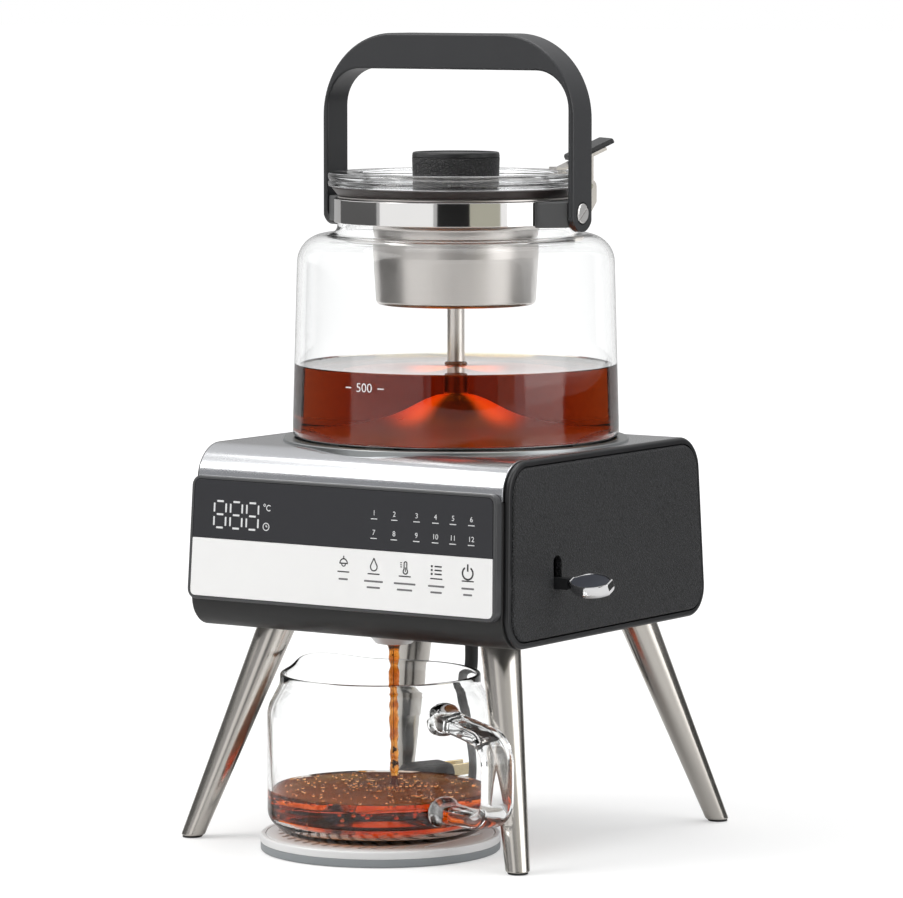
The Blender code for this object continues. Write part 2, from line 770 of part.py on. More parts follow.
def build_sides():
    half = HOOP_WIDTH / 2 + GAP
    for name, side in (("side_trim_left", -1), ("side_trim_right", 1)):
        levels = ((0, 0), (0, TRIM_DEPTH - TRIM_EDGE), (TRIM_EDGE * 0.35, TRIM_DEPTH - TRIM_EDGE * 0.35),
                  (TRIM_EDGE, TRIM_DEPTH), (TRIM_FACE, TRIM_DEPTH), (TRIM_FACE, TRIM_LEDGE_DEPTH),
                  (TRIM_FACE + TRIM_LEDGE, TRIM_LEDGE_DEPTH), (TRIM_FACE + TRIM_LEDGE, 0))
        levels = [(d, side * (half + x)) for d, x in levels]
        rim = stack(body_corners(), BODY_RADII, levels, across, ring=True)
        add(name, rim, RIM_BLACK, (0, BODY_Y, 0), BASE)
    for name, side in (("side_cover_left", -1), ("side_cover_right", 1)):
        edge = TRIM_FACE + GROOVE
        back = TRIM_LEDGE_DEPTH + GAP
        levels = ((edge, back), (edge, back + COVER_THICK - COVER_EDGE),
                  (edge + COVER_EDGE * 0.4, back + COVER_THICK - COVER_EDGE * 0.3),
                  (edge + COVER_EDGE * 1.4, back + COVER_THICK))
        bm = stack(body_corners(), BODY_RADII, [(d, side * (half + x)) for d, x in levels], across)
        panel = add(name, bm, GRAIN_BLACK, (0, BODY_Y, 0), BASE)
        if side > 0:
            tall = rectangle(SLOT_WIDTH, SLOT_HEIGHT)
            reach = half + back + COVER_THICK
            bm = stack(tall, (SLOT_CORNER,) * 4, ((0, half - OVERRUN), (0, reach + OVERRUN)), across)
            level = TAP_Z - TAP_BAR / 2 - GAP + SLOT_HEIGHT / 2
            boolean(panel, cutter("cut_slot", bm, (0, TAP_Y, level), BASE), "DIFFERENCE")


def build_panel():
    """The plate on the front, leaning with the shell, with two flush inserts in its pocket."""
    middle_z = BODY_TOP - PANEL_DROP - PANEL_HEIGHT / 2
    spot = (0, front_face(middle_z) - GAP / math.cos(BODY_LEAN), middle_z)
    outline = rectangle(PANEL_WIDTH, PANEL_HEIGHT)
    floor = PANEL_DEPTH - PANEL_POCKET
    levels = ((0, 0), (0, PANEL_DEPTH - PANEL_EDGE), (PANEL_EDGE, PANEL_DEPTH), (PANEL_RIM, PANEL_DEPTH),
              (PANEL_RIM, floor))
    bm = stack(outline, (PANEL_CORNER,) * 4, [(d, -n) for d, n in levels], along)
    add("panel_frame", bm, RIM_BLACK, spot, BASE, tilt=-BODY_LEAN)
    rim = PANEL_RIM + GAP
    width = PANEL_WIDTH - 2 * rim
    low, high = -PANEL_HEIGHT / 2 + rim, PANEL_HEIGHT / 2 - rim
    split = low + (high - low) * (1 - WINDOW_SHARE)
    soft, sharp = PANEL_CORNER - rim, GAP
    face = PANEL_DEPTH + INSERT_PROUD
    for name, bottom, top, radii, look in (
            ("display_window", split + GAP / 2, high, (sharp, sharp, soft, soft), WINDOW_GREY),
            ("touch_plate", low, split - GAP / 2, (soft, soft, sharp, sharp), PALE_PLATE)):
        outline = rectangle(width, top - bottom, (0, (top + bottom) / 2))
        bm = stack(outline, radii, ((0, -(floor + GAP)), (0, -face)), along, steps=3)
        add(name, bm, look, spot, BASE, tilt=-BODY_LEAN)


def build_boards():
    port_z = LEG_HEIGHT + PORT_RISE
    spot = (0, front_face(port_z), port_z)
    back = SHELL_WALL + GAP
    half = PORT_WIDTH / 2
    reach = half + BOARD_LAP
    bm = block((-reach, back, -BOARD_LAP), (reach, back + BOARD, PORT_HEIGHT + BOARD_LAP))
    board = add("display_board", bm, BOARD_GREEN, spot, BASE, tilt=-BODY_LEAN)
    left = -half + DIGITS_INSET
    top = PORT_HEIGHT - GAP
    digits = block((left, 0, top - DIGITS_HEIGHT), (left + DIGITS_WIDTH, back + BOARD / 2, top))
    keys = [rod(KEY_SPRING_R, 0, back + BOARD / 2, along, (half - KEY_INSET - i * KEY_PITCH, KEY_RISE), TINY)
            for i in range(KEY_SPRINGS)]
    tool = cutter("join_display", joined(digits, *keys), spot, BASE, tilt=-BODY_LEAN)
    boolean(board, tool, "UNION")

    level = FLOOR + GAP + POST_HEIGHT
    wide, deep = POWER_WIDTH / 2, POWER_DEPTH / 2
    bm = block((-wide, -deep, 0), (wide, deep, BOARD))
    power = add("power_board", bm, BOARD_GREEN, (POWER_X, POWER_Y, level), BASE)
    posts = [(x * (wide - POST_INSET), y * (deep - POST_INSET)) for x in (-1, 1) for y in (-1, 1)]
    parts = [rod(POST_R, -POST_HEIGHT, BOARD / 2, upward, spot, TINY) for spot in posts]
    top = BOARD / 2
    for x, y, w, d, h in POWER_PART_SHARES:
        cx, cy = x * POWER_WIDTH, y * POWER_DEPTH
        dx, dy = w * POWER_WIDTH / 2, d * POWER_DEPTH / 2
        parts.append(block((cx - dx, cy - dy, top), (cx + dx, cy + dy, top + h * POWER_WIDTH)))
    for x, y in POWER_CAN_SHARES:
        parts.append(rod(POST_R * 2, top, top + POST_HEIGHT * 3, upward,
                         (x * POWER_WIDTH, y * POWER_DEPTH), TINY))
    boolean(power, cutter("join_parts", joined(*parts), (POWER_X, POWER_Y, level), BASE), "UNION")


def build_seat():
    collar = SEAT_HOLE_R - GAP
    inner = collar - SEAT_COLLAR_WALL
    top = BODY_TOP + GAP
    lip_top = top + SEAT_LIP
    lip_bore = KETTLE_R + SEAT_STEP
    step_z = top + SEAT_LIP - SEAT_STEP
    hole = HEATER_R - SEAT_LEDGE
    floor_top = SEAT_FLOOR_Z + SEAT_FLOOR
    profile = [(hole, SEAT_FLOOR_Z), (collar, SEAT_FLOOR_Z), (collar, top), (SEAT_FLANGE_R, top),
               (SEAT_FLANGE_R, top + SEAT_LIP * 0.35), (SEAT_FLANGE_R - SEAT_LIP_SLOPE, lip_top),
               (lip_bore, lip_top), (lip_bore, step_z), (inner, step_z), (inner, floor_top),
               (hole, floor_top)]
    ring = add("seat_ring", turned(profile), RIM_BLACK, (0, KETTLE_Y, 0), BASE)
    bm = rod(CUP_R + GAP, SEAT_FLOOR_Z - OVERRUN, floor_top + OVERRUN, upward, sides=MIDDLING)
    boolean(ring, cutter("cut_cup", bm, (0, DRAIN_Y, 0), BASE), "DIFFERENCE")

    under = floor_top + GAP
    bore = THERMOSTAT_R + GAP
    profile = [(bore, under), (HEATER_R, under), (HEATER_R, HEATER_TOP - HEATER_EDGE),
               (HEATER_R - HEATER_EDGE, HEATER_TOP), (bore, HEATER_TOP)]
    add("heater_plate", turned(profile), HEATER_GREY, (0, KETTLE_Y, 0), BASE)
    ring_z = under - GAP - ELEMENT_TUBE
    element = turned(bead(ELEMENT_R, ELEMENT_TUBE, ring_z), MIDDLING, ELEMENT_ARC)
    add("heating_element", element, STEEL, (0, KETTLE_Y, 0), BASE)
    flange = under - GAP - THERMOSTAT_FLANGE
    profile = [(0, flange - THERMOSTAT_DROP), (THERMOSTAT_BODY_R, flange - THERMOSTAT_DROP),
               (THERMOSTAT_BODY_R, flange), (THERMOSTAT_R + THERMOSTAT_FLANGE, flange),
               (THERMOSTAT_R + THERMOSTAT_FLANGE, under - GAP), (THERMOSTAT_R, under - GAP),
               (THERMOSTAT_R, HEATER_TOP - GAP), (0, HEATER_TOP - GAP)]
    add("thermostat", turned(profile, SMALL), WHITE_PLASTIC, (0, KETTLE_Y, 0), BASE)


def build_drain():
    """The cup under the kettle's drain, the hose, the valve over the spout, and the spout."""
    floor_top = SEAT_FLOOR_Z + SEAT_FLOOR
    rim = floor_top + GAP
    top = HEATER_TOP - GAP
    low = top - CUP_DEPTH
    end = low - SPIGOT_LENGTH
    profile = [(SPIGOT_BORE, end), (SPIGOT_R, end), (SPIGOT_R, low), (CUP_R, low), (CUP_R, rim),
               (CUP_R + CUP_FLANGE, rim), (CUP_R + CUP_FLANGE, rim + CUP_FLANGE_THICK),
               (CUP_R, rim + CUP_FLANGE_THICK), (CUP_R, top), (CUP_R - CUP_WALL, top),
               (CUP_R - CUP_WALL, low + CUP_FUNNEL + CUP_WALL), (SPIGOT_BORE, low + CUP_WALL)]
    add("valve_cup", turned(profile, MIDDLING), WHITE_PLASTIC, (0, DRAIN_Y, 0), BASE)

    foot = FLOOR + GAP
    throat = foot + VALVE_SOCKET
    seat = throat + VALVE_THROAT
    chamber = seat + VALVE_SEAT
    cap = chamber + VALVE_CHAMBER
    profile = [(VALVE_SOCKET_R, foot), (VALVE_R, foot), (VALVE_R, cap + VALVE_CAP),
               (STEM_R + STEM_PLAY, cap + VALVE_CAP), (STEM_R + STEM_PLAY, cap), (VALVE_CHAMBER_R, cap),
               (VALVE_CHAMBER_R, chamber), (VALVE_SEAT_R, chamber), (VALVE_SEAT_R, seat),
               (VALVE_BORE, seat), (VALVE_BORE, throat), (VALVE_SOCKET_R, throat)]
    valve = add("valve_body", turned(profile, MIDDLING), WHITE_PLASTIC, (0, NOZZLE_Y, 0), BASE)
    inlet_z = chamber + VALVE_CHAMBER / 2
    inlet_end = -(VALVE_R + SPIGOT_LENGTH / 2)
    bm = rod(SPIGOT_R - CUP_WALL / 2, inlet_end, -(VALVE_R + VALVE_CHAMBER_R) / 2, along, (0, inlet_z))
    boolean(valve, cutter("join_inlet", bm, (0, NOZZLE_Y, 0), BASE), "UNION")
    bm = rod(SPIGOT_BORE - CUP_WALL / 4, inlet_end - OVERRUN, 0, along, (0, inlet_z), TINY)
    boolean(valve, cutter("cut_inlet", bm, (0, NOZZLE_Y, 0), BASE), "DIFFERENCE")

    start = Vector((0, DRAIN_Y, end - GAP))
    mouth_y = NOZZLE_Y + inlet_end - GAP
    bend = HOSE_BEND
    swing = mouth_y - HOSE_SWING - DRAIN_Y
    spots = [start, Vector((0, DRAIN_Y, (start.z * 2 + inlet_z) / 3)),
             Vector((0, DRAIN_Y + swing * 0.45, (start.z + inlet_z) / 2)),
             Vector((0, DRAIN_Y + swing, inlet_z + bend * 1.25)),
             Vector((0, DRAIN_Y + swing * 0.8, inlet_z + bend * 0.35)),
             Vector((0, mouth_y - bend * 0.25, inlet_z)), Vector((0, mouth_y, inlet_z))]
    path = smooth_route(spots, 2)
    outer, inner = [], []
    for i, here in enumerate(path):
        ahead = (path[min(i + 1, len(path) - 1)] - path[max(i - 1, 0)]).normalized()
        if i == 0:
            ahead = Vector((0, 0, -1))
        if i == len(path) - 1:
            ahead = Vector((0, 1, 0))
        side = Vector((1, 0, 0))
        top_side = side.cross(ahead)
        for radius, rings in ((HOSE_R, outer), (HOSE_BORE, inner)):
            rings.append([here + side * x + top_side * y for x, y, _ in circle(radius, 10)])
    add("outlet_tube", loft(outer + inner[::-1], ring=True), SILICONE, on=BASE)

    under = LEG_HEIGHT - GAP
    neck = VALVE_SOCKET_R - 2 * GAP
    tip = under - NOZZLE_LENGTH
    profile = [(NOZZLE_BORE, tip), (NOZZLE_TIP_R, tip), (NOZZLE_TOP_R, under - NOZZLE_FLANGE),
               (NOZZLE_TOP_R, under), (neck, under), (neck, throat - GAP), (NOZZLE_BORE, throat - GAP)]
    add("nozzle", turned(profile, MIDDLING), CHROME, (0, NOZZLE_Y, 0), BASE)

    profile = [(0, under - LAMP_THICK), (LAMP_R + LAMP_LIP, under - LAMP_THICK), (LAMP_R + LAMP_LIP, under),
               (LAMP_R, under), (LAMP_R, FLOOR + LAMP_LIP), (0, FLOOR + LAMP_LIP)]
    add("lamp_lens", turned(profile, MIDDLING), LENS, (0, LAMP_Y, 0), BASE)

    head = seat - GAP - HEAD_THICK
    fork = TAP_Z - TAP_FORK / 2
    lower = fork - COLLAR_PLAY
    upper = fork + TAP_FORK + COLLAR_PLAY
    profile = [(0, head), (HEAD_R, head), (HEAD_R, head + HEAD_THICK), (STEM_R, head + HEAD_THICK),
               (STEM_R, lower - COLLAR_THICK), (COLLAR_R, lower - COLLAR_THICK), (COLLAR_R, lower),
               (STEM_R, lower), (STEM_R, upper), (COLLAR_R, upper), (COLLAR_R, upper + COLLAR_THICK),
               (0, upper + COLLAR_THICK)]
    add("valve_plunger", turned(profile, SMALL), WHITE_PLASTIC, (0, NOZZLE_Y, 0), PLUNGER)


def build_tap():
    """The rocking lever: fork on the valve stem, pivot in its bracket, paddle outside the slot."""
    half = TAP_BAR / 2
    neck = TAP_REACH - PADDLE_LENGTH - GAP
    bm = block((TAP_FORK_ROOT, -half, -half), (neck, half, half))
    stem = add("tap_stem", bm, RIM_BLACK, (0, TAP_Y, TAP_Z), TAP)
    fork = prism(rectangle(TAP_FORK_ROOT + TAP_BAR - TAP_FORK_TIP, TAP_FORK_WIDTH,
                           ((TAP_FORK_ROOT + TAP_BAR + TAP_FORK_TIP) / 2, NOZZLE_Y - TAP_Y)),
                 -TAP_FORK / 2, TAP_FORK / 2, upward)
    boolean(stem, cutter("join_fork", fork, (0, TAP_Y, TAP_Z), TAP), "UNION")
    pin = rod(TAP_PIN_R, -TAP_PIN_REACH, TAP_PIN_REACH, along, (TAP_PIVOT_X, 0))
    boolean(stem, cutter("join_pin", pin, (0, TAP_Y, TAP_Z), TAP), "UNION")
    slot = rod(TAP_SLOT_R, -TAP_FORK, TAP_FORK, upward)
    boolean(stem, cutter("cut_fork", slot, (0, NOZZLE_Y, TAP_Z), TAP), "DIFFERENCE")
    mouth = block((TAP_FORK_TIP - OVERRUN, -TAP_SLOT_R * MOUTH_SHARE, -TAP_FORK),
                  (0, TAP_SLOT_R * MOUTH_SHARE, TAP_FORK))
    boolean(stem, cutter("cut_mouth", mouth, (0, NOZZLE_Y, TAP_Z), TAP), "DIFFERENCE")

    base = FLOOR + GAP - TAP_Z
    inner = half + BRACKET_GAP
    outer = inner + BRACKET_CHEEK
    outline = [(-outer, base), (outer, base), (outer, BRACKET_HEAD), (inner, BRACKET_HEAD),
               (inner, base + BRACKET_BASE), (-inner, base + BRACKET_BASE), (-inner, BRACKET_HEAD),
               (-outer, BRACKET_HEAD)]
    wide = BRACKET_WIDTH / 2
    bm = prism(outline, TAP_PIVOT_X - wide, TAP_PIVOT_X + wide, across)
    bracket = add("tap_bracket", bm, WHITE_PLASTIC, (0, TAP_Y, TAP_Z), BASE)
    hole = rod(TAP_PIN_R + GAP, -outer - OVERRUN, outer + OVERRUN, along, (TAP_PIVOT_X, 0))
    boolean(bracket, cutter("cut_pivot", hole, (0, TAP_Y, TAP_Z), BASE), "DIFFERENCE")

    start = TAP_REACH - PADDLE_LENGTH
    shoulder = start + PADDLE_LENGTH * PADDLE_SHOULDER_SHARE
    outline = [(start, -PADDLE_NECK / 2), (shoulder, -PADDLE_WIDTH / 2), (TAP_REACH, -PADDLE_TIP / 2),
               (TAP_REACH, PADDLE_TIP / 2), (shoulder, PADDLE_WIDTH / 2), (start, PADDLE_NECK / 2)]
    root, belly = PADDLE_NECK / 6, PADDLE_WIDTH / 2
    radii = (root, belly, PADDLE_CORNER, PADDLE_CORNER, belly, root)
    top = PADDLE_RISE
    low = top - PADDLE_HEIGHT
    levels = ((PADDLE_KEEL, low), (PADDLE_EDGE_SHARE * PADDLE_KEEL, low + PADDLE_KEEL * 0.6),
              (0, low + PADDLE_KEEL * 1.6), (0, top - PADDLE_EDGE_SHARE * PADDLE_RIM),
              (PADDLE_EDGE_SHARE * PADDLE_RIM, top), (PADDLE_RIM, top), (PADDLE_RIM, top - PADDLE_POCKET))
    bm = stack(outline, radii, levels, upward, steps=3)
    add("tap_paddle", bm, CHROME, (0, TAP_Y, TAP_Z), TAP)


def build_legs():
    feet = {name: (x, y) for name, x, y in leg_spots(FOOT_X, FOOT_Y)}
    under, low = LEG_HEIGHT - GAP, FOOT_TIP + GAP
    base = FLOOR + GAP
    cups, bores = [], []
    for name, x, y in leg_spots(LEG_TOP_X, LEG_TOP_Y):
        top, foot = (x, y), feet[name]
        at_low = tuple(f + (t - f) * low / LEG_HEIGHT for t, f in zip(top, foot))
        loops = [circle(LEG_LOW_R, MIDDLING, at_low, low), circle(LEG_TOP_R, MIDDLING, top, under),
                 circle(LEG_SPIGOT_R, MIDDLING, top, under),
                 circle(LEG_SPIGOT_R, MIDDLING, top, FLOOR + LEG_SPIGOT)]
        add(f"leg_{name}", loft(loops), STEEL, on=BASE)
        radius = LEG_LOW_R + FOOT_TIP_GROWTH
        tip = loft([circle(radius, SMALL, foot, 0), circle(radius, SMALL, at_low, FOOT_TIP)])
        add(f"foot_tip_{name}", tip, RUBBER, on=BASE)
        cups.append(rod(SOCKET_R, base - GAP, base + SOCKET_HEIGHT, upward, top, SMALL + 4))
        bores.append(rod(LEG_SPIGOT_R + GAP, base - OVERRUN, FLOOR + LEG_SPIGOT + GAP, upward, top, SMALL))
    # A flat H of bars on the floor links the four sockets
    half = FRAME_BAR / 2
    out, near = LEG_TOP_X + half, LEG_TOP_X - half
    front, rear = LEG_MIDDLE_Y - LEG_TOP_Y, LEG_MIDDLE_Y + LEG_TOP_Y
    before, behind = FRAME_CROSS_Y - half, FRAME_CROSS_Y + half
    outline = [(-out, front), (-near, front), (-near, before), (near, before), (near, front), (out, front),
               (out, rear), (near, rear), (near, behind), (-near, behind), (-near, rear), (-out, rear)]
    frame = add("leg_frame", prism(outline, base, base + FRAME_THICK, upward), STEEL, on=BASE)
    boolean(frame, cutter("join_sockets", joined(*cups), on=BASE), "UNION")
    under_side = block((-out * 2, front * 2 - rear, FLOOR - OVERRUN), (out * 2, rear * 2 - front, base))
    boolean(frame, cutter("cut_under", under_side, on=BASE), "DIFFERENCE")
    boolean(frame, cutter("cut_sockets", joined(*bores), on=BASE), "DIFFERENCE")


def build_kettle():
    spot = (0, KETTLE_Y, KETTLE_Z)
    wall = KETTLE_WALL
    floor = BASE_THICK
    pan = KETTLE_R - wall - GAP
    profile = [(0, 0), (KETTLE_R - BASE_EDGE, 0), (KETTLE_R, BASE_EDGE), (KETTLE_R, floor), (pan, floor),
               (pan, floor + PAN_LIP_HEIGHT), (pan - PAN_LIP, floor + PAN_LIP_HEIGHT), (pan - PAN_LIP, floor),
               (0, floor)]
    base = add("kettle_base", turned(profile), MIRROR_STEEL, spot, KETTLE)
    hole = rod(DRAIN_HOLE_R, -OVERRUN, floor + OVERRUN / 2, upward, (0, -DRAIN_R))
    boolean(base, cutter("cut_drain", hole, spot, KETTLE), "DIFFERENCE")
    head = floor + GAP
    collar = -DRAIN_COLLAR
    profile = [(0, collar - DRAIN_STEM), (DRAIN_STEM_R, collar - DRAIN_STEM), (DRAIN_STEM_R, collar),
               (DRAIN_COLLAR_R, collar), (DRAIN_COLLAR_R, 0), (DRAIN_STEM_R, 0), (DRAIN_STEM_R, head),
               (DRAIN_HEAD_R, head), (DRAIN_HEAD_R, head + DRAIN_HEAD / 2),
               (DRAIN_HEAD_R * 0.8, head + DRAIN_HEAD), (0, head + DRAIN_HEAD)]
    at = (0, KETTLE_Y - DRAIN_R, KETTLE_Z)
    add("drain_valve", turned(profile, SMALL), STEEL, at, KETTLE)

    centre = (KETTLE_TOP_R - SHOULDER_R, SHOULDER_Z)
    foot = floor + GAP
    outer = [(KETTLE_R, foot), (KETTLE_R, foot + PAN_LIP_HEIGHT)]
    outer += arc_points(centre, SHOULDER_R, 0, 90, 5)
    outer += [(NECK_R + NECK_ROUND, SHOULDER_Z + SHOULDER_R), (NECK_R, NECK_Z), (NECK_R, NECK_TOP - GAP),
              (NECK_R - GAP, NECK_TOP)]
    bore = NECK_R - wall
    inner = [(bore + GAP, NECK_TOP), (bore, NECK_TOP - GAP), (bore, NECK_Z - wall / 2),
             (bore + wall / 2 + NECK_ROUND, SHOULDER_Z + SHOULDER_R - wall)]
    inner += arc_points(centre, SHOULDER_R - wall, 90, 0, 5)
    inner += [(KETTLE_R - wall, foot + PAN_LIP_HEIGHT), (KETTLE_R - wall, foot)]
    add("kettle_glass", turned(outer + inner), GLASS, spot, KETTLE)

    ring = NECK_R + GAP
    edge = BAND_WALL / 3
    low, high = BAND_LOW, BAND_LOW + BAND_HEIGHT
    out = ring + BAND_WALL
    profile = [(ring, low), (out - edge, low), (out, low + edge), (out, high - edge), (out - edge, high),
               (ring, high)]
    add("neck_band", turned(profile), MIRROR_STEEL, spot, KETTLE)

    reach = HANDLE_REACH - ARM_THICK - GAP
    clear_r = out + GAP
    wide = clear_r * math.sin(BOSS_SPREAD)
    tip = HANDLE_WIDTH / 2 * 0.92
    face = HANDLE_REACH - PIVOT_RECESS + GAP
    depth = reach - PIVOT_DEPTH
    for name, side in (("left", -1), ("right", 1)):
        near = clear_r * math.cos(BOSS_SPREAD)
        outline = [(near, -wide), (near + BOSS_EDGE * 2, -wide - BOSS_EDGE / 2), (reach, -tip), (reach, tip),
                   (near + BOSS_EDGE * 2, wide + BOSS_EDGE / 2), (near, wide)]
        spread = math.degrees(BOSS_SPREAD) * 5 / 6
        outline += arc_points((0, 0), clear_r / math.cos(BOSS_SPREAD / 6), spread, -spread, 5)
        outline = [(side * x, y) for x, y in outline]
        boss = add(f"pivot_boss_{name}", prism(outline, BOSS_LOW, BOSS_LOW + BOSS_HEIGHT, upward), BOSS_GREY,
                   spot, KETTLE)
        ends = sorted((side * depth, side * (reach + OVERRUN)))
        bm = rod(PIVOT_R + GAP, *ends, across, (0, PIVOT_RISE), TINY)
        boolean(boss, cutter(f"cut_boss_{name}", bm, spot, KETTLE), "DIFFERENCE")
        profile = [(0, depth + GAP), (PIVOT_R, depth + GAP), (PIVOT_R, face), (PIVOT_HEAD_R, face),
                   (PIVOT_HEAD_R, face + PIVOT_HEAD * 0.7), (PIVOT_HEAD_R * 0.86, face + PIVOT_HEAD),
                   (0, face + PIVOT_HEAD)]
        bm = turned(profile, SMALL)
        bmesh.ops.rotate(bm, verts=bm.verts, matrix=Matrix.Rotation(side * math.pi / 2, 3, "Y"))
        screw = add(f"pivot_screw_{name}", moved(bm, (0, 0, PIVOT_RISE)), STEEL, spot, KETTLE)
        ends = sorted((side * (face + PIVOT_HEAD / 2), side * (face + PIVOT_HEAD + OVERRUN)))
        bm = prism(rectangle(PIVOT_HEAD_R * 3, PIVOT_HEAD * 0.6), *ends, across)
        bmesh.ops.rotate(bm, verts=bm.verts, matrix=Matrix.Rotation(SCREW_SLOT_TURN, 3, "X"))
        tool = cutter(f"cut_slot_{name}", moved(bm, (0, 0, PIVOT_RISE)), spot, KETTLE)
        boolean(screw, tool, "DIFFERENCE")


def build_handle():
    """The bail: an upright hoop of thin arms and a deep grip bar, its ends rounded about the pivots."""
    spot = (0, KETTLE_Y, PIVOT_Z)
    top = HANDLE_RISE
    low = -HANDLE_WIDTH
    reach, inner = HANDLE_REACH, HANDLE_REACH - ARM_THICK
    under = top - BAR_HEIGHT
    big, small = HANDLE_CORNER, HANDLE_INNER_CORNER
    outline = [(reach, low)] + arc_points((reach - big, top - big), big, 0, 90, 8)
    outline += arc_points((-reach + big, top - big), big, 90, 180, 8) + [(-reach, low), (-inner, low)]
    outline += arc_points((-inner + small, under - small), small, 180, 90, 6)
    outline += arc_points((inner - small, under - small), small, 90, 0, 6) + [(inner, low)]
    bm = prism(outline, -HANDLE_WIDTH, HANDLE_WIDTH, along)
    bail = add("handle", bm, HANDLE_GREY, spot, HANDLE)
    half = HANDLE_WIDTH / 2
    edge = HANDLE_EDGE
    side = arc_points((0, 0), half, 180, 360, 10) + [(half, top - edge), (half - edge, top + OVERRUN),
                                                     (-half + edge, top + OVERRUN), (-half, top - edge)]
    keep = prism(side, -reach - OVERRUN, reach + OVERRUN, across)
    boolean(bail, cutter("keep_profile", keep, spot, HANDLE), "INTERSECT")
    holes = []
    for sign in (-1, 1):
        depth = sorted((sign * (inner - OVERRUN), sign * (reach + OVERRUN)))
        holes.append(rod(PIVOT_R + GAP, *depth, across, sides=TINY))
        depth = sorted((sign * (reach - PIVOT_RECESS), sign * (reach + OVERRUN)))
        holes.append(rod(PIVOT_HEAD_R + 2 * GAP, *depth, across, sides=SMALL))
    boolean(bail, cutter("cut_arm_holes", joined(*holes[0::2]), spot, HANDLE), "DIFFERENCE")
    boolean(bail, cutter("cut_recesses", joined(*holes[1::2]), spot, HANDLE), "DIFFERENCE")


def build_brewing():
    """The percolator stem, a bell on a tube, and the tea basket that hangs from the neck round it."""
    spot = (0, KETTLE_Y, KETTLE_Z)
    foot = BASE_THICK + GAP
    bore = TUBE_R - TUBE_WALL
    shares = ((1.0, 0.0), (0.86, 0.09), (0.62, 0.26), (0.40, 0.47), (0.22, 0.72))
    outer = [(BELL_R * r, foot + BELL_HEIGHT * z) for r, z in shares]
    under = [(r - BELL_WALL, z - BELL_WALL) if z > foot else (r - 2 * BELL_WALL, z) for r, z in outer]
    outer += [(TUBE_R, foot + BELL_HEIGHT), (TUBE_R, TUBE_TOP), (TUBE_CAP_R, TUBE_TOP + TUBE_CAP / 2),
              (TUBE_CAP_R, TUBE_TOP + TUBE_CAP), (bore, TUBE_TOP + TUBE_CAP),
              (bore, foot + BELL_HEIGHT - BELL_WALL)]
    add("brew_stem", turned(outer + under[::-1]), MIRROR_STEEL, spot, KETTLE)

    collar = TUBE_R + GAP
    wall = BASKET_WALL
    corner = BASKET_CORNER
    low = BASKET_LOW_R
    outer = [(collar, BASKET_FLOOR), (low - corner, BASKET_FLOOR), (low, BASKET_FLOOR + corner),
             (BASKET_R - wall, BASKET_STEP - wall), (BASKET_R, BASKET_STEP), (BASKET_R, BASKET_CONE),
             (BASKET_NECK_R, BASKET_CONE_TOP), (BASKET_NECK_R, BASKET_LIP_Z), (BASKET_RIM_R, BASKET_LIP_Z)]
    inner = [(BASKET_RIM_R, BASKET_LIP_Z + wall), (BASKET_NECK_R - wall, BASKET_LIP_Z + wall),
             (BASKET_NECK_R - wall, BASKET_CONE_TOP + wall / 2), (BASKET_R - wall, BASKET_CONE + wall / 2),
             (BASKET_R - wall, BASKET_STEP), (BASKET_R - 2 * wall, BASKET_STEP - wall),
             (low - wall, BASKET_FLOOR + corner), (low - corner, BASKET_FLOOR + wall),
             (collar, BASKET_FLOOR + wall)]
    add("basket", turned(outer + inner), STEEL, spot, KETTLE)


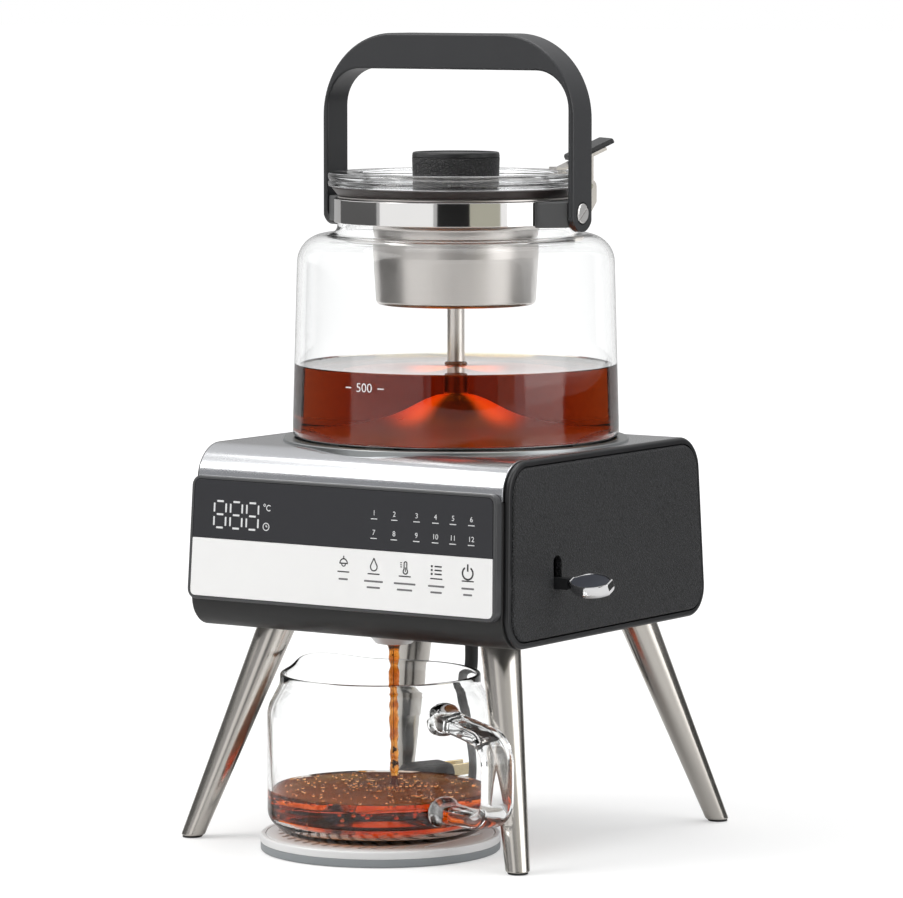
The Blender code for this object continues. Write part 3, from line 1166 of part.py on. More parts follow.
def build_lid():
    spot = (0, KETTLE_Y, LID_Z)
    cone = SEAL_THICK - GAP
    profile = [(SEAL_BORE, 0), (SEAL_R, 0), (SEAL_TOP_R, cone - GAP), (SEAL_TOP_R, cone), (SEAL_BORE, cone)]
    add("lid_seal", turned(profile), RUBBER, spot, LID)
    base = SEAL_THICK
    top = base + LID_RIM
    flat = top - LID_RIM_STEP
    under = flat - LID_PLATE
    third = LID_RIM / 3
    out = LID_R
    groove = LID_GROOVE
    profile = [(LID_HOLE_R, under), (LID_DISH_R - groove, under), (LID_DISH_R, under + groove),
               (LID_DISH_R, base), (out - groove, base),
               (out, base + groove), (out, base + third), (out - groove, base + third + groove),
               (out, base + third + 2 * groove), (out, top - groove), (out - groove, top),
               (out - LID_RIM_WIDTH + groove, top), (out - LID_RIM_WIDTH, flat), (LID_HOLE_R, flat)]
    add("lid_glass", turned(profile), GLASS, spot, LID)

    foot = flat + GAP
    rise = foot + KNOB_HEIGHT
    bore = KNOB_SCREW_R + GAP
    rim = KNOB_RIM
    profile = [(0, foot + KNOB_BORE), (bore, foot + KNOB_BORE), (bore, foot), (KNOB_FOOT_R, foot),
               (KNOB_R, rise - rim * 2), (KNOB_R - rim * 0.3, rise - rim * 0.4), (KNOB_R - rim, rise),
               (KNOB_R - KNOB_RIM_WIDTH, rise), (KNOB_R - KNOB_RIM_WIDTH - KNOB_DISH, rise - KNOB_DISH),
               (0, rise - KNOB_DISH)]
    add("knob", turned(profile, MIDDLING + 8), GRAIN_BLACK, spot, LID)
    seat = under - GAP
    low, tip = seat - KNOB_WASHER, foot + KNOB_BORE - GAP
    profile = [(0, low), (KNOB_WASHER_R - rim, low), (KNOB_WASHER_R, seat - rim), (KNOB_WASHER_R, seat),
               (KNOB_SCREW_R, seat), (KNOB_SCREW_R, tip), (0, tip)]
    add("knob_screw", turned(profile, SMALL), STEEL, spot, LID)

    # Thumb lever and hinge: outlines in (distance from the lid's axis, height above the hinge pin)
    over = LID_Z + top + GAP - HINGE_Z
    inner_end = STRIP_INNER
    lift = math.tan(STRIP_RISE)
    thick = STRIP_THICK
    rise_top = over + (STRIP_REACH - STRIP_BEND) * lift
    in_x = HINGE_R - KNUCKLE_R
    ball = arc_points((HINGE_R, 0), KNUCKLE_R, 180, 360, 8)
    out_x = HINGE_R + KNUCKLE_R
    outline = [(inner_end, over), (STRIP_BEND, over), (in_x, over + (in_x - STRIP_BEND) * lift)]
    outline += ball
    outline += [(out_x, over + (out_x - STRIP_BEND) * lift), (STRIP_REACH, rise_top),
                (STRIP_REACH - thick * lift, rise_top + thick), (STRIP_BEND - thick * lift / 2, over + thick),
                (inner_end, over + thick)]
    at = Vector((0, KETTLE_Y, HINGE_Z))
    half = STRIP_WIDTH / 2
    strip = add("thumb_strip", prism(outline, -half, half, along), STEEL, at, LID, turn=HINGE_TURN)
    hole = rod(HINGE_PIN_R + GAP, -half - OVERRUN, half + OVERRUN, along, (HINGE_R, 0), TINY)
    boolean(strip, cutter("cut_knuckle", hole, at, LID, turn=HINGE_TURN), "DIFFERENCE")

    rise = Vector((math.cos(STRIP_RISE), math.sin(STRIP_RISE)))
    level = Vector((-rise.y, rise.x))
    start = Vector((PADDLE_TAB_START, over + (PADDLE_TAB_START - STRIP_BEND) * lift))
    start += level * (thick + 2 * GAP)
    length = (PADDLE_TAB_REACH - PADDLE_TAB_START) / rise.x
    deep = PADDLE_TAB_THICK
    outline = [start, start + rise * length, start + rise * length + level * deep * 0.6,
               start + rise * (length - deep * 0.4) + level * deep, start + rise * deep * 0.4 + level * deep,
               start + level * deep * 0.6]
    half = PADDLE_TAB_WIDTH / 2
    add("thumb_paddle", prism([tuple(p) for p in outline], -half, half, along), HANDLE_GREY, at, LID,
        turn=HINGE_TURN)

    near = NECK_R + GAP + BAND_WALL + GAP
    half = HINGE_WIDTH / 2
    low, shelf = KETTLE_Z + HINGE_FOOT - HINGE_Z, KETTLE_Z + HINGE_SHELF - HINGE_Z
    ear_in = HINGE_R - EAR_R
    outline = [(near, low), (HINGE_R - EAR_R / 3, low), (HINGE_R + EAR_R, shelf)]
    outline += arc_points((HINGE_R, 0), EAR_R, 0, 180, 8)
    outline += [(ear_in, shelf + EAR_R), (near, shelf)]
    bracket = add("lid_hinge", prism(outline, -half, half, along), STEEL, at, KETTLE, turn=HINGE_TURN)
    gap = half - EAR_THICK
    middle = block((near - EAR_R, -gap, shelf), (HINGE_R + EAR_R + OVERRUN, gap, EAR_R + OVERRUN))
    boolean(bracket, cutter("cut_knuckle_gap", middle, at, KETTLE, turn=HINGE_TURN), "DIFFERENCE")
    hole = rod(HINGE_PIN_R + GAP, -half - OVERRUN, half + OVERRUN, along, (HINGE_R, 0), TINY)
    boolean(bracket, cutter("cut_pin", hole, at, KETTLE, turn=HINGE_TURN), "DIFFERENCE")
    pin = rod(HINGE_PIN_R, -HINGE_PIN_LENGTH / 2, HINGE_PIN_LENGTH / 2, along, (HINGE_R, 0), TINY)
    add("hinge_pin", pin, STEEL, at, KETTLE, turn=HINGE_TURN)


def build_tray():
    edge = TRAY_EDGE
    bore = TRAY_R - TRAY_WALL
    ledge = GRILLE_Z - GAP
    profile = [(0, 0), (TRAY_R - edge, 0), (TRAY_R, edge), (TRAY_R, TRAY_HEIGHT - edge),
               (TRAY_R - edge, TRAY_HEIGHT), (bore, TRAY_HEIGHT), (bore, ledge), (bore - GRILLE_LEDGE, ledge),
               (bore - GRILLE_LEDGE, TRAY_FLOOR), (0, TRAY_FLOOR)]
    add("tray", turned(profile), TRAY_GREY, on=TRAY)
    radius = bore - GAP
    grille = add("tray_grille", turned([(0, GRILLE_Z), (radius, GRILLE_Z), (radius, TRAY_HEIGHT),
                                        (0, TRAY_HEIGHT)]), TRAY_GREY, on=TRAY)
    slots = []
    for i in range(GRILLE_SLOTS):
        x = (i - (GRILLE_SLOTS - 1) / 2) * GRILLE_PITCH
        half = math.sqrt(max((radius - GRILLE_MARGIN) ** 2 - x * x, GRILLE_SLOT ** 2))
        slots.append(block((x - GRILLE_SLOT / 2, -half, GRILLE_Z - OVERRUN / 2),
                           (x + GRILLE_SLOT / 2, half, TRAY_HEIGHT + OVERRUN / 2)))
    boolean(grille, cutter("cut_grille", joined(*slots), on=TRAY), "DIFFERENCE")


def build_pitcher():
    spot = (0, 0, PITCHER_Z)
    wall = PITCHER_WALL
    heel = (PITCHER_R - PITCHER_HEEL, PITCHER_HEEL)
    outer = [(0, 0), (heel[0] + wall, 0)] + arc_points(heel, PITCHER_HEEL, -75, 0, 4)
    bulge = PITCHER_R - PITCHER_RIM_R
    rise = PITCHER_HEIGHT - PITCHER_SHOULDER
    outer += [(PITCHER_R, PITCHER_SHOULDER), (PITCHER_R - bulge * 0.30, PITCHER_SHOULDER + rise * 0.35),
              (PITCHER_RIM_R + wall * 0.2, PITCHER_SHOULDER + rise * 0.70),
              (PITCHER_RIM_R + PITCHER_LIP * 0.3, PITCHER_HEIGHT - PITCHER_LIP),
              (PITCHER_RIM_R, PITCHER_HEIGHT)]
    inner = [(PITCHER_RIM_R - wall * 0.7, PITCHER_HEIGHT),
             (PITCHER_RIM_R - wall, PITCHER_HEIGHT - PITCHER_LIP),
             (PITCHER_RIM_R - wall * 0.8, PITCHER_SHOULDER + rise * 0.70),
             (PITCHER_R - bulge * 0.30 - wall, PITCHER_SHOULDER + rise * 0.35 - wall * 0.3),
             (PITCHER_R - wall, PITCHER_SHOULDER - wall / 2)]
    heel_in = PITCHER_HEEL - wall
    inner += arc_points((heel[0], heel[1] + PITCHER_FLOOR - wall), heel_in, 0, -75, 4)
    inner += [(0, PITCHER_FLOOR)]
    bm = turned(outer + inner, ROUND)
    pour_spout(bm)
    add("pitcher_glass", bm, GLASS, spot, PITCHER)

    half_w, half_t = GRIP_WIDTH / 2, GRIP_THICK / 2
    out = GRIP_REACH - half_t
    corner, heel = GRIP_CORNER, GRIP_HEEL
    low, top = GRIP_LOW, GRIP_TOP
    line = [(PITCHER_R, top), (PITCHER_R + corner / 2, top)]
    line += arc_points((out - corner, top - corner), corner, 90, 0, GRIP_STEPS)
    line += arc_points((out - heel, low + heel), heel, 0, -90, GRIP_STEPS)
    line += [(PITCHER_R + corner / 2, low), (PITCHER_R, low)]
    loops = []
    for i, (r, z) in enumerate(line):
        ahead = Vector(line[min(i + 1, len(line) - 1)]) - Vector(line[max(i - 1, 0)])
        level = Vector((-ahead.y, ahead.x)).normalized() * half_t
        loops.append([(r + level.x * y, half_w * x, z + level.y * y) for x, y, _ in circle(1, TINY)])
    for ring in (loops[0], loops[-1]):
        seat = max(outline_radius(outer, z) for _, _, z in ring) + GAP
        ring[:] = [(seat, y, z) for _, y, z in ring]
    add("pitcher_handle", loft(loops), GLASS, spot, PITCHER, turn=GRIP_TURN)


def outline_radius(outline, height):
    """Radius of a turned outline at a height, where it climbs."""
    for (r0, z0), (r1, z1) in zip(outline, outline[1:]):
        if z0 <= height <= z1 and z1 > z0:
            return r0 + (r1 - r0) * (height - z0) / (z1 - z0)
    return outline[-1][0]


def pour_spout(bm):
    """Draw the pitcher's rim out and up into a pouring lip."""
    root = PITCHER_HEIGHT * SPOUT_ROOT_SHARE
    for vert in bm.verts:
        if vert.co.z <= root:
            continue
        rise = (vert.co.z - root) / (PITCHER_HEIGHT - root)
        offset = math.atan2(vert.co.y, vert.co.x) - SPOUT_TURN
        offset = (offset + math.pi) % TURN - math.pi
        pull = rise * rise * math.exp(-(offset / SPOUT_SPREAD) ** 2)
        outward = Vector((vert.co.x, vert.co.y, 0)).normalized()
        vert.co += outward * SPOUT_REACH * pull
        vert.co.z += SPOUT_RISE * pull


def coil_point(turns):
    """A point of the coiled lead's middle line: the top layer winds in, the lower one out again."""
    middle = COIL_TURNS / 2
    radius = COIL_R - COIL_PITCH * (middle - abs(turns - middle))
    climb = min(max((turns - middle) / COIL_CLIMB + 0.5, 0), 1)
    eased = climb * climb * (3 - 2 * climb)
    angle = COIL_START - TURN * turns
    height = COIL_LOW + COIL_PITCH * (1 - eased)
    return Vector((COIL_X + radius * math.cos(angle), COIL_Y + radius * math.sin(angle), height))


def build_lead():
    under = LEG_HEIGHT - GAP
    end = under - GLAND_LENGTH
    head, top = under - GLAND_HEAD, FLOOR + GLAND_HEAD
    profile = [(0, end), (GLAND_TIP_R, end), (GLAND_R, head), (GLAND_HEAD_R, head), (GLAND_HEAD_R, under),
               (GLAND_NECK_R, under), (GLAND_NECK_R, top), (0, top)]
    add("cord_gland", turned(profile, SMALL), LEAD_BLACK, (GLAND_X, GLAND_Y, 0), BASE)

    count = round(COIL_TURNS * LOOP_POINTS)
    loops = [coil_point(COIL_TURNS * k / count) for k in range(count + 1)]
    entry = loops[0] + Vector((0, 2 * CORD_R, 0))
    leave = (loops[-1] - coil_point(COIL_TURNS - COIL_NUDGE)).normalized()
    rest = PLUG_HEIGHT / 2 - COIL_LOW
    tail = [loops[-1] + leave * TAIL * s + Vector((0, 0, rest * h))
            for s, h in ((0.22, 0.06), (0.42, 0.35), (0.60, 0.75), (0.78, 1.0), (1.0, 1.0))]
    tube("cord_coil", [entry] + loops + tail, CORD_R, COIL_SIDES, LEAD_BLACK, BASE)
    report_gap(loops)
    top = Vector((GLAND_X, GLAND_Y, end - GAP))
    last = entry + Vector((0, GAP, 0))
    route = [top] + [Vector(p) for p in LEAD_ROUTE] + [last]
    tube("cord", smooth_route(route, LEAD_STEPS), CORD_R, CORD_SIDES, LEAD_BLACK, BASE)

    back = tail[-1] + leave * GAP
    turn = math.atan2(leave.y, leave.x)
    middle = PLUG_HEIGHT / 2
    neck = CORD_R + PLUG_NOSE
    body = PLUG_RELIEF + PLUG_LENGTH
    half = PLUG_WIDTH / 2
    shares = ((0, 0), (0.5, 0.08), (1, 0.35))
    sections = [(PLUG_RELIEF * x, neck + (half - neck) * y, neck + (middle - neck) * y) for x, y in shares]
    sections += [(PLUG_RELIEF * 1.2, half, middle), (body - PLUG_NOSE, half, middle),
                 (body, half - PLUG_NOSE, middle - PLUG_NOSE)]
    loops = []
    for x, w, h in sections:
        outline = rounded(rectangle(2 * w, 2 * h), (min(PLUG_CORNER, h * 0.9),) * 4, 2)
        loops.append([(x, p.x, p.y) for p in outline])
    spot = (back.x, back.y, middle)
    plug = add("plug", loft(loops), LEAD_BLACK, spot, BASE, turn=turn)
    start = body - PLUG_NOSE
    pins = []
    for side in (-1, 1):
        y = side * BLADE_SPREAD / 2
        z = EARTH_DROP / 3
        pins.append(block((start, y - BLADE_THICK / 2, z - BLADE_WIDTH / 2),
                          (body + BLADE_LENGTH, y + BLADE_THICK / 2, z + BLADE_WIDTH / 2)))
    pins.append(rod(EARTH_R, start, body + BLADE_LENGTH + EARTH_EXTRA, across, (0, -EARTH_DROP / 3), TINY))
    boolean(plug, cutter("join_pins", joined(*pins), spot, BASE, turn=turn), "UNION")


def report_gap(points):
    """Print the coil's least gap to itself, measured between points a good way apart along it."""
    skip = LOOP_POINTS // 2
    least = min((a - b).length for i, a in enumerate(points) for b in points[i + skip:])
    print(f"least gap in the coil {(least - 2 * CORD_R) * 1000:.2f} mm")


build_body()
build_sides()
build_panel()
build_boards()
build_seat()
build_drain()
build_tap()
build_legs()
build_kettle()
build_handle()
build_brewing()
build_lid()
build_tray()
build_pitcher()
build_lead()
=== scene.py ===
"""Automatic tea maker: the fine pieces, finishes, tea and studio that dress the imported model.

The modelling functions work in millimetres in the model's own frame, and piece() scales each mesh to
metres. Outlines are lists of (across, up) points; a third number rounds that corner.
"""
import math
import random

import bmesh
import bpy
from bpy.props import FloatProperty, FloatVectorProperty, PointerProperty, StringProperty
from mathutils import Matrix, Vector


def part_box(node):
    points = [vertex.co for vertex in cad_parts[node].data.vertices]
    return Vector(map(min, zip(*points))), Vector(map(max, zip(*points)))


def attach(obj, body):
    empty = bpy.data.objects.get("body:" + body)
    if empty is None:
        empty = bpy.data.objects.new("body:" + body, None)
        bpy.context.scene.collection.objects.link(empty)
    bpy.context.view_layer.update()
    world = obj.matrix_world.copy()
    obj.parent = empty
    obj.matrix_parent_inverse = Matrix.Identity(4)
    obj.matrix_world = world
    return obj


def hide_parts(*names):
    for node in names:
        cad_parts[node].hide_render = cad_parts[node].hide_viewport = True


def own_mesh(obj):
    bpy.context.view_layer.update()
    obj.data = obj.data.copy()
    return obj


bl_info = {
    "name": "Tea Maker Dressing",
    "version": (1, 0, 0),
    "blender": (4, 5, 0),
    "location": "View3D > Sidebar > Tea Maker",
    "description": "Dresses the packed tea maker with fine pieces, finishes, tea and a studio",
    "category": "Object",
}

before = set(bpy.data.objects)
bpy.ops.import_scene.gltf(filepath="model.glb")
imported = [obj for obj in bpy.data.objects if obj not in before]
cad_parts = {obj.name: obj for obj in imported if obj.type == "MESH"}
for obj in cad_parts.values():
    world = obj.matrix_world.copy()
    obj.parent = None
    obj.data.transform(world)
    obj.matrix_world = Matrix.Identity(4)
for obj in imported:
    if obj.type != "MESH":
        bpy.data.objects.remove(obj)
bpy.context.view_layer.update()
MM = 0.001
TURN = 2 * math.pi


def low(node):
    """A CAD node's lowest corner in millimetres."""
    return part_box(node)[0] / MM


def high(node):
    """A CAD node's highest corner in millimetres."""
    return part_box(node)[1] / MM


# Places that the frame gives
KETTLE_Z = low("kettle_base").z
KETTLE_R = high("kettle_base").x
KETTLE_Y = low("kettle_base").y + KETTLE_R
LID_Z = low("lid_seal").z
PITCHER_Z = low("pitcher_glass").z
TRAY_R = high("tray").x
BODY_LOW = low("lower_shell").z
BODY_TOP = high("top_cover").z
HALF_HOOP = high("top_cover").x
PARTING = low("top_cover").z
NOZZLE_Y = (low("nozzle").y + high("nozzle").y) / 2
LAMP_Y = (low("lamp_lens").y + high("lamp_lens").y) / 2
PIVOT_Z = KETTLE_Z + 113.3
HINGE_Z = KETTLE_Z + 124.5

# Body outline
BODY_Y = 62.5
BODY_DEPTH = 181.0
BODY_PROUD = 2.0
BODY_MIDDLE = (BODY_LOW + BODY_TOP) / 2
LEAN = math.radians(3.0)
DRAFT = 0.00029
SEAM = HALF_HOOP + 2.7
PANEL_Z = BODY_TOP - 15 - 30.75
TAP_Y = 14.0
TAP_Z = 137.0
HINGE_TURN = math.radians(52)


class TeaFinishes(bpy.types.PropertyGroup):
    """Colours of the tea maker's finishes."""

    silver: FloatVectorProperty(name="Top cover", description="Satin silver of the top cover", subtype="COLOR",
                                size=3, min=0, max=1, default=(0.60, 0.61, 0.63))
    shell: FloatVectorProperty(name="Lower shell", description="Near-black of the lower shell",
                               subtype="COLOR", size=3, min=0, max=1, default=(0.013, 0.013, 0.013))
    rim: FloatVectorProperty(name="Rims", description="Charcoal of the side rims and panel frame",
                             subtype="COLOR", size=3, min=0, max=1, default=(0.014, 0.0145, 0.016))
    grain: FloatVectorProperty(name="Side covers", description="Charcoal of the grained covers and knob",
                               subtype="COLOR", size=3, min=0, max=1, default=(0.022, 0.023, 0.026))
    handle: FloatVectorProperty(name="Handle", description="Charcoal of the bail handle", subtype="COLOR",
                                size=3, min=0, max=1, default=(0.027, 0.028, 0.031))
    window: FloatVectorProperty(name="Display window", description="Charcoal of the display window",
                                subtype="COLOR", size=3, min=0, max=1, default=(0.014, 0.0145, 0.019))
    plate: FloatVectorProperty(name="Touch plate", description="White of the touch plate", subtype="COLOR",
                               size=3, min=0, max=1, default=(0.98, 0.98, 0.975))
    legs: FloatVectorProperty(name="Legs", description="Warm grey of the brushed legs", subtype="COLOR",
                              size=3, min=0, max=1, default=(0.60, 0.57, 0.53))
    tray: FloatVectorProperty(name="Tray", description="Light grey of the drip tray", subtype="COLOR",
                              size=3, min=0, max=1, default=(0.30, 0.32, 0.335))
    lead: FloatVectorProperty(name="Lead", description="Black of the mains lead", subtype="COLOR",
                              size=3, min=0, max=1, default=(0.016, 0.016, 0.017))
    kettle_tea: FloatVectorProperty(name="Tea in the kettle", description="What deep tea lets through",
                                    subtype="COLOR", size=3, min=0, max=1, default=(0.879, 0.717, 0.083))
    pitcher_tea: FloatVectorProperty(name="Tea in the pitcher", description="What shallow tea lets through",
                                     subtype="COLOR", size=3, min=0, max=1, default=(0.966, 0.77, 0.03))


class TeaSizes(bpy.types.PropertyGroup):
    """Sizes that the look alone depends on."""

    kettle_fill: FloatProperty(name="Kettle fill", description="Depth of the tea in the kettle", default=0.0340,
                               min=0.010, max=0.060, unit="LENGTH")
    pitcher_fill: FloatProperty(name="Pitcher fill", description="Height of the tea's top in the pitcher",
                                default=0.0295, min=0.016, max=0.060, unit="LENGTH")
    stream_width: FloatProperty(name="Stream", description="Width of the poured tea at the spout",
                                default=0.0066, min=0.002, max=0.0072, unit="LENGTH")
    hide_grain: FloatProperty(name="Hide grain", description="Size of one pebble of the leather grain",
                              default=0.0016, min=0.0004, max=0.003, unit="LENGTH")


class TeaStudio(bpy.types.PropertyGroup):
    """The camera and the lamps."""

    azimuth: FloatProperty(name="Azimuth", description="How far the camera stands round to the right",
                           default=math.radians(33.6), unit="ROTATION")
    pitch: FloatProperty(name="Pitch", description="How far the camera looks down",
                         default=math.radians(5.3), unit="ROTATION")
    distance: FloatProperty(name="Distance", description="Camera to the kettle's axis", default=2.597,
                            min=0.5, unit="LENGTH")
    lens: FloatProperty(name="Lens", description="Focal length in millimetres", default=205.7, min=20)
    aim: FloatProperty(name="Aim", description="Height that the camera looks at", default=0.1933,
                       unit="LENGTH")
    shift: FloatProperty(name="Sideways aim", description="Aim to the right of the kettle's axis",
                         default=-0.0022, unit="LENGTH")
    key: FloatProperty(name="Key lamp", description="Power of the key lamp in watts", default=22.0, min=0)
    fill: FloatProperty(name="Fill lamp", description="Power of the fill lamp in watts", default=9.0, min=0)
    top: FloatProperty(name="Top lamp", description="Power of the top lamp in watts", default=14.0, min=0)


# Mesh making

def flat(points, steps=None):
    """A flat outline in the XZ plane, with the corners rounded that ask for it."""
    bm = bmesh.new()
    verts = [bm.verts.new((p[0], 0, p[1])) for p in points]
    bm.faces.new(verts)
    for vert, spot in zip(verts, points):
        if len(spot) > 2 and spot[2] > 0:
            arms = [e.other_vert(vert).co - vert.co for e in vert.link_edges]
            reach = spot[2] / math.tan(arms[0].angle(arms[1]) / 2)
            bmesh.ops.bevel(bm, geom=[vert], offset=reach, offset_type="OFFSET", affect="VERTICES",
                            segments=steps or 3 + int(min(spot[2], 40) * 0.6), profile=0.5, material=-1)
    return bm


def tidy(bm):
    """Merge doubles, drop loose edges and turn the faces outwards."""
    bmesh.ops.remove_doubles(bm, verts=bm.verts, dist=0.0005)
    bmesh.ops.delete(bm, geom=[e for e in bm.edges if e.is_wire], context="EDGES")
    bmesh.ops.recalc_face_normals(bm, faces=bm.faces)
    return bm


def moved(bm, offset):
    bmesh.ops.translate(bm, verts=bm.verts, vec=offset)
    return bm


def placed(bm, matrix):
    bmesh.ops.transform(bm, verts=bm.verts, matrix=matrix)
    return bm


def lathe(points, at=(0, 0, 0), sides=96):
    """A turned solid from a closed outline of (radius, height) points."""
    bm = flat(points)
    bmesh.ops.delete(bm, geom=bm.faces[:], context="FACES_ONLY")
    bmesh.ops.spin(bm, geom=bm.verts[:] + bm.edges[:], cent=(0, 0, 0), axis=(0, 0, 1), angle=TURN,
                   steps=sides, use_merge=True)
    return moved(tidy(bm), at)


AXES = {"X": Matrix(((0, 1, 0, 0), (1, 0, 0, 0), (0, 0, 1, 0), (0, 0, 0, 1))),
        "Y": Matrix.Identity(4),
        "Z": Matrix(((1, 0, 0, 0), (0, 0, 1, 0), (0, 1, 0, 0), (0, 0, 0, 1)))}


def slab(points, near, far, axis="Y", rim=0.0, ends="both", segments=3):
    """An outline carried along an axis, with the edges of its end faces rounded."""
    bm = flat(points)
    made = bmesh.ops.extrude_face_region(bm, geom=bm.faces[:])["geom"]
    bmesh.ops.translate(bm, verts=[v for v in made if isinstance(v, bmesh.types.BMVert)], vec=(0, far - near, 0))
    moved(bm, (0, near, 0))
    bmesh.ops.recalc_face_normals(bm, faces=bm.faces)
    if rim:
        levels = {"both": (near, far), "near": (near,), "far": (far,)}[ends]
        edges = [e for e in bm.edges for level in levels
                 if all(abs(v.co.y - level) < 1e-4 for v in e.verts)]
        bmesh.ops.bevel(bm, geom=edges, offset=rim, offset_type="OFFSET", affect="EDGES", segments=segments,
                        profile=0.5, material=-1)
    return tidy(placed(bm, AXES[axis]))


def stacked(rows):
    """A closed solid through outlines at rising levels, each with the same number of corners."""
    bm = bmesh.new()
    loops = []
    for outline, level in rows:
        ring = flat(outline, 6)
        spots = [loop.vert.co.copy() for loop in ring.faces[:][0].loops]
        ring.free()
        loops.append([bm.verts.new((p.x, p.z, level)) for p in spots])
    for below, above in zip(loops, loops[1:]):
        for i, vert in enumerate(below):
            after = (i + 1) % len(below)
            bm.faces.new((vert, below[after], above[after], above[i]))
    bm.faces.new(loops[0][::-1])
    bm.faces.new(loops[-1])
    return tidy(bm)


def rod(radius, near, far, middle=(0, 0), axis="Z", sides=48):
    """A plain round bar, mostly used as a cutter."""
    bm = bmesh.new()
    bmesh.ops.create_circle(bm, cap_ends=True, radius=radius, segments=sides)
    made = bmesh.ops.extrude_face_region(bm, geom=bm.faces[:])["geom"]
    bmesh.ops.translate(bm, verts=[v for v in made if isinstance(v, bmesh.types.BMVert)], vec=(0, 0, far - near))
    moved(bm, (*middle, near))
    if axis == "Y":
        placed(bm, AXES["Z"])
    if axis == "X":
        placed(bm, AXES["X"] @ AXES["Z"])
    return tidy(bm)


def strap(stations, corners=32):
    """A bar of squarish section through (across, up, half width, half thickness) in the XZ plane."""
    bm = bmesh.new()
    spots = [Vector((x, 0, z)) for x, z, _, _ in stations]
    loops = []
    for k, (_, _, wide, thick) in enumerate(stations):
        way = spots[min(k + 1, len(spots) - 1)] - spots[max(k - 1, 0)]
        up = Vector((-way.z, 0, way.x)).normalized()
        power = 0.5 if thick < 5 else 0.9
        ring = []
        for i in range(corners):
            across, out = math.cos(TURN * i / corners), math.sin(TURN * i / corners)
            across = math.copysign(abs(across) ** power, across)
            out = math.copysign(abs(out) ** power, out)
            ring.append(bm.verts.new(spots[k] + up * thick * out + Vector((0, wide * across, 0))))
        loops.append(ring)
    for near, far in zip(loops, loops[1:]):
        for i, vert in enumerate(near):
            after = (i + 1) % corners
            bm.faces.new((vert, near[after], far[after], far[i]))
    bm.faces.new(loops[0][::-1])
    bm.faces.new(loops[-1])
    return tidy(bm)


def box(low_corner, high_corner, edge=0.0):
    """A block between two corners, with its edges rounded."""
    (x0, y0, z0), (x1, y1, z1) = low_corner, high_corner
    bm = bmesh.new()
    bmesh.ops.create_cube(bm, size=1)
    bmesh.ops.scale(bm, verts=bm.verts, vec=(x1 - x0, y1 - y0, z1 - z0))
    moved(bm, ((x0 + x1) / 2, (y0 + y1) / 2, (z0 + z1) / 2))
    if edge:
        soften(bm, edge)
    return bm


def soften(bm, reach, angle=50, segments=2):
    """Round the sharp edges."""
    sharp = [e for e in bm.edges if len(e.link_faces) == 2 and e.calc_face_angle() > math.radians(angle)]
    bmesh.ops.bevel(bm, geom=sharp, offset=reach, offset_type="OFFSET", affect="EDGES", segments=segments,
                    profile=0.5, material=-1)
    return bm


def joined(*parts):
    """Several separate shapes in one bmesh."""
    whole = bmesh.new()
    for part in parts:
        mesh = bpy.data.meshes.new("part")
        part.to_mesh(mesh)
        part.free()
        whole.from_mesh(mesh)
        bpy.data.meshes.remove(mesh)
    return whole


def carve(bm, tool, kind="DIFFERENCE"):
    """Cut, join or cross two solids, and give the result as a new bmesh."""
    things = []
    for source in (bm, tool):
        mesh = bpy.data.meshes.new("carving")
        source.to_mesh(mesh)
        source.free()
        things.append(bpy.data.objects.new("carving", mesh))
        bpy.context.collection.objects.link(things[-1])
    change = things[0].modifiers.new("carve", "BOOLEAN")
    change.operation = kind
    change.solver = "EXACT"
    change.object = things[1]
    made = bmesh.new()
    made.from_object(things[0], bpy.context.evaluated_depsgraph_get())
    for thing in things:
        mesh = thing.data
        bpy.data.objects.remove(thing)
        bpy.data.meshes.remove(mesh)
    return made


def tube(points, radii, sides=24):
    """A round bar along points, in millimetres, with a radius for each."""
    curve = bpy.data.curves.new("tube", "CURVE")
    curve.dimensions = "3D"
    curve.bevel_depth = 1
    curve.bevel_resolution = sides // 4
    curve.use_fill_caps = True
    line = curve.splines.new("POLY")
    line.points.add(len(points) - 1)
    for spot, place, radius in zip(line.points, points, radii):
        spot.co = (*place, 1)
        spot.radius = radius
    return from_curve(curve)


def from_curve(curve):
    """A curve or text as a bmesh."""
    thing = bpy.data.objects.new("curve", curve)
    bpy.context.collection.objects.link(thing)
    mesh = bpy.data.meshes.new_from_object(thing.evaluated_get(bpy.context.evaluated_depsgraph_get()))
    bm = bmesh.new()
    bm.from_mesh(mesh)
    bpy.data.objects.remove(thing)
    bpy.data.curves.remove(curve)
    bpy.data.meshes.remove(mesh)
    return tidy(bm)


def lettering(text, size, thick):
    """Upright characters centred on the origin in the XZ plane, facing -Y."""
    curve = bpy.data.curves.new("text", "FONT")
    curve.body = text
    curve.size = size
    curve.align_x = "CENTER"
    curve.align_y = "CENTER"
    curve.extrude = thick / 2
    curve.resolution_u = 4
    return placed(from_curve(curve), Matrix.Rotation(math.pi / 2, 4, "X"))


def arc_band(radius, width, start, end, thick, steps=24):
    """A flat ring or part of one, in the XZ plane."""
    bm = bmesh.new()
    verts = [bm.verts.new((radius + side * width / 2, 0, 0)) for side in (-1, 1)]
    edge = bm.edges.new(verts)
    bmesh.ops.spin(bm, geom=verts + [edge], cent=(0, 0, 0), axis=(0, -1, 0),
                   angle=math.radians(end - start), steps=steps, use_merge=False)
    placed(bm, Matrix.Rotation(-math.radians(start), 4, "Y"))
    made = bmesh.ops.extrude_face_region(bm, geom=bm.faces[:])["geom"]
    bmesh.ops.translate(bm, verts=[v for v in made if isinstance(v, bmesh.types.BMVert)], vec=(0, thick, 0))
    return tidy(moved(bm, (0, -thick / 2, 0)))


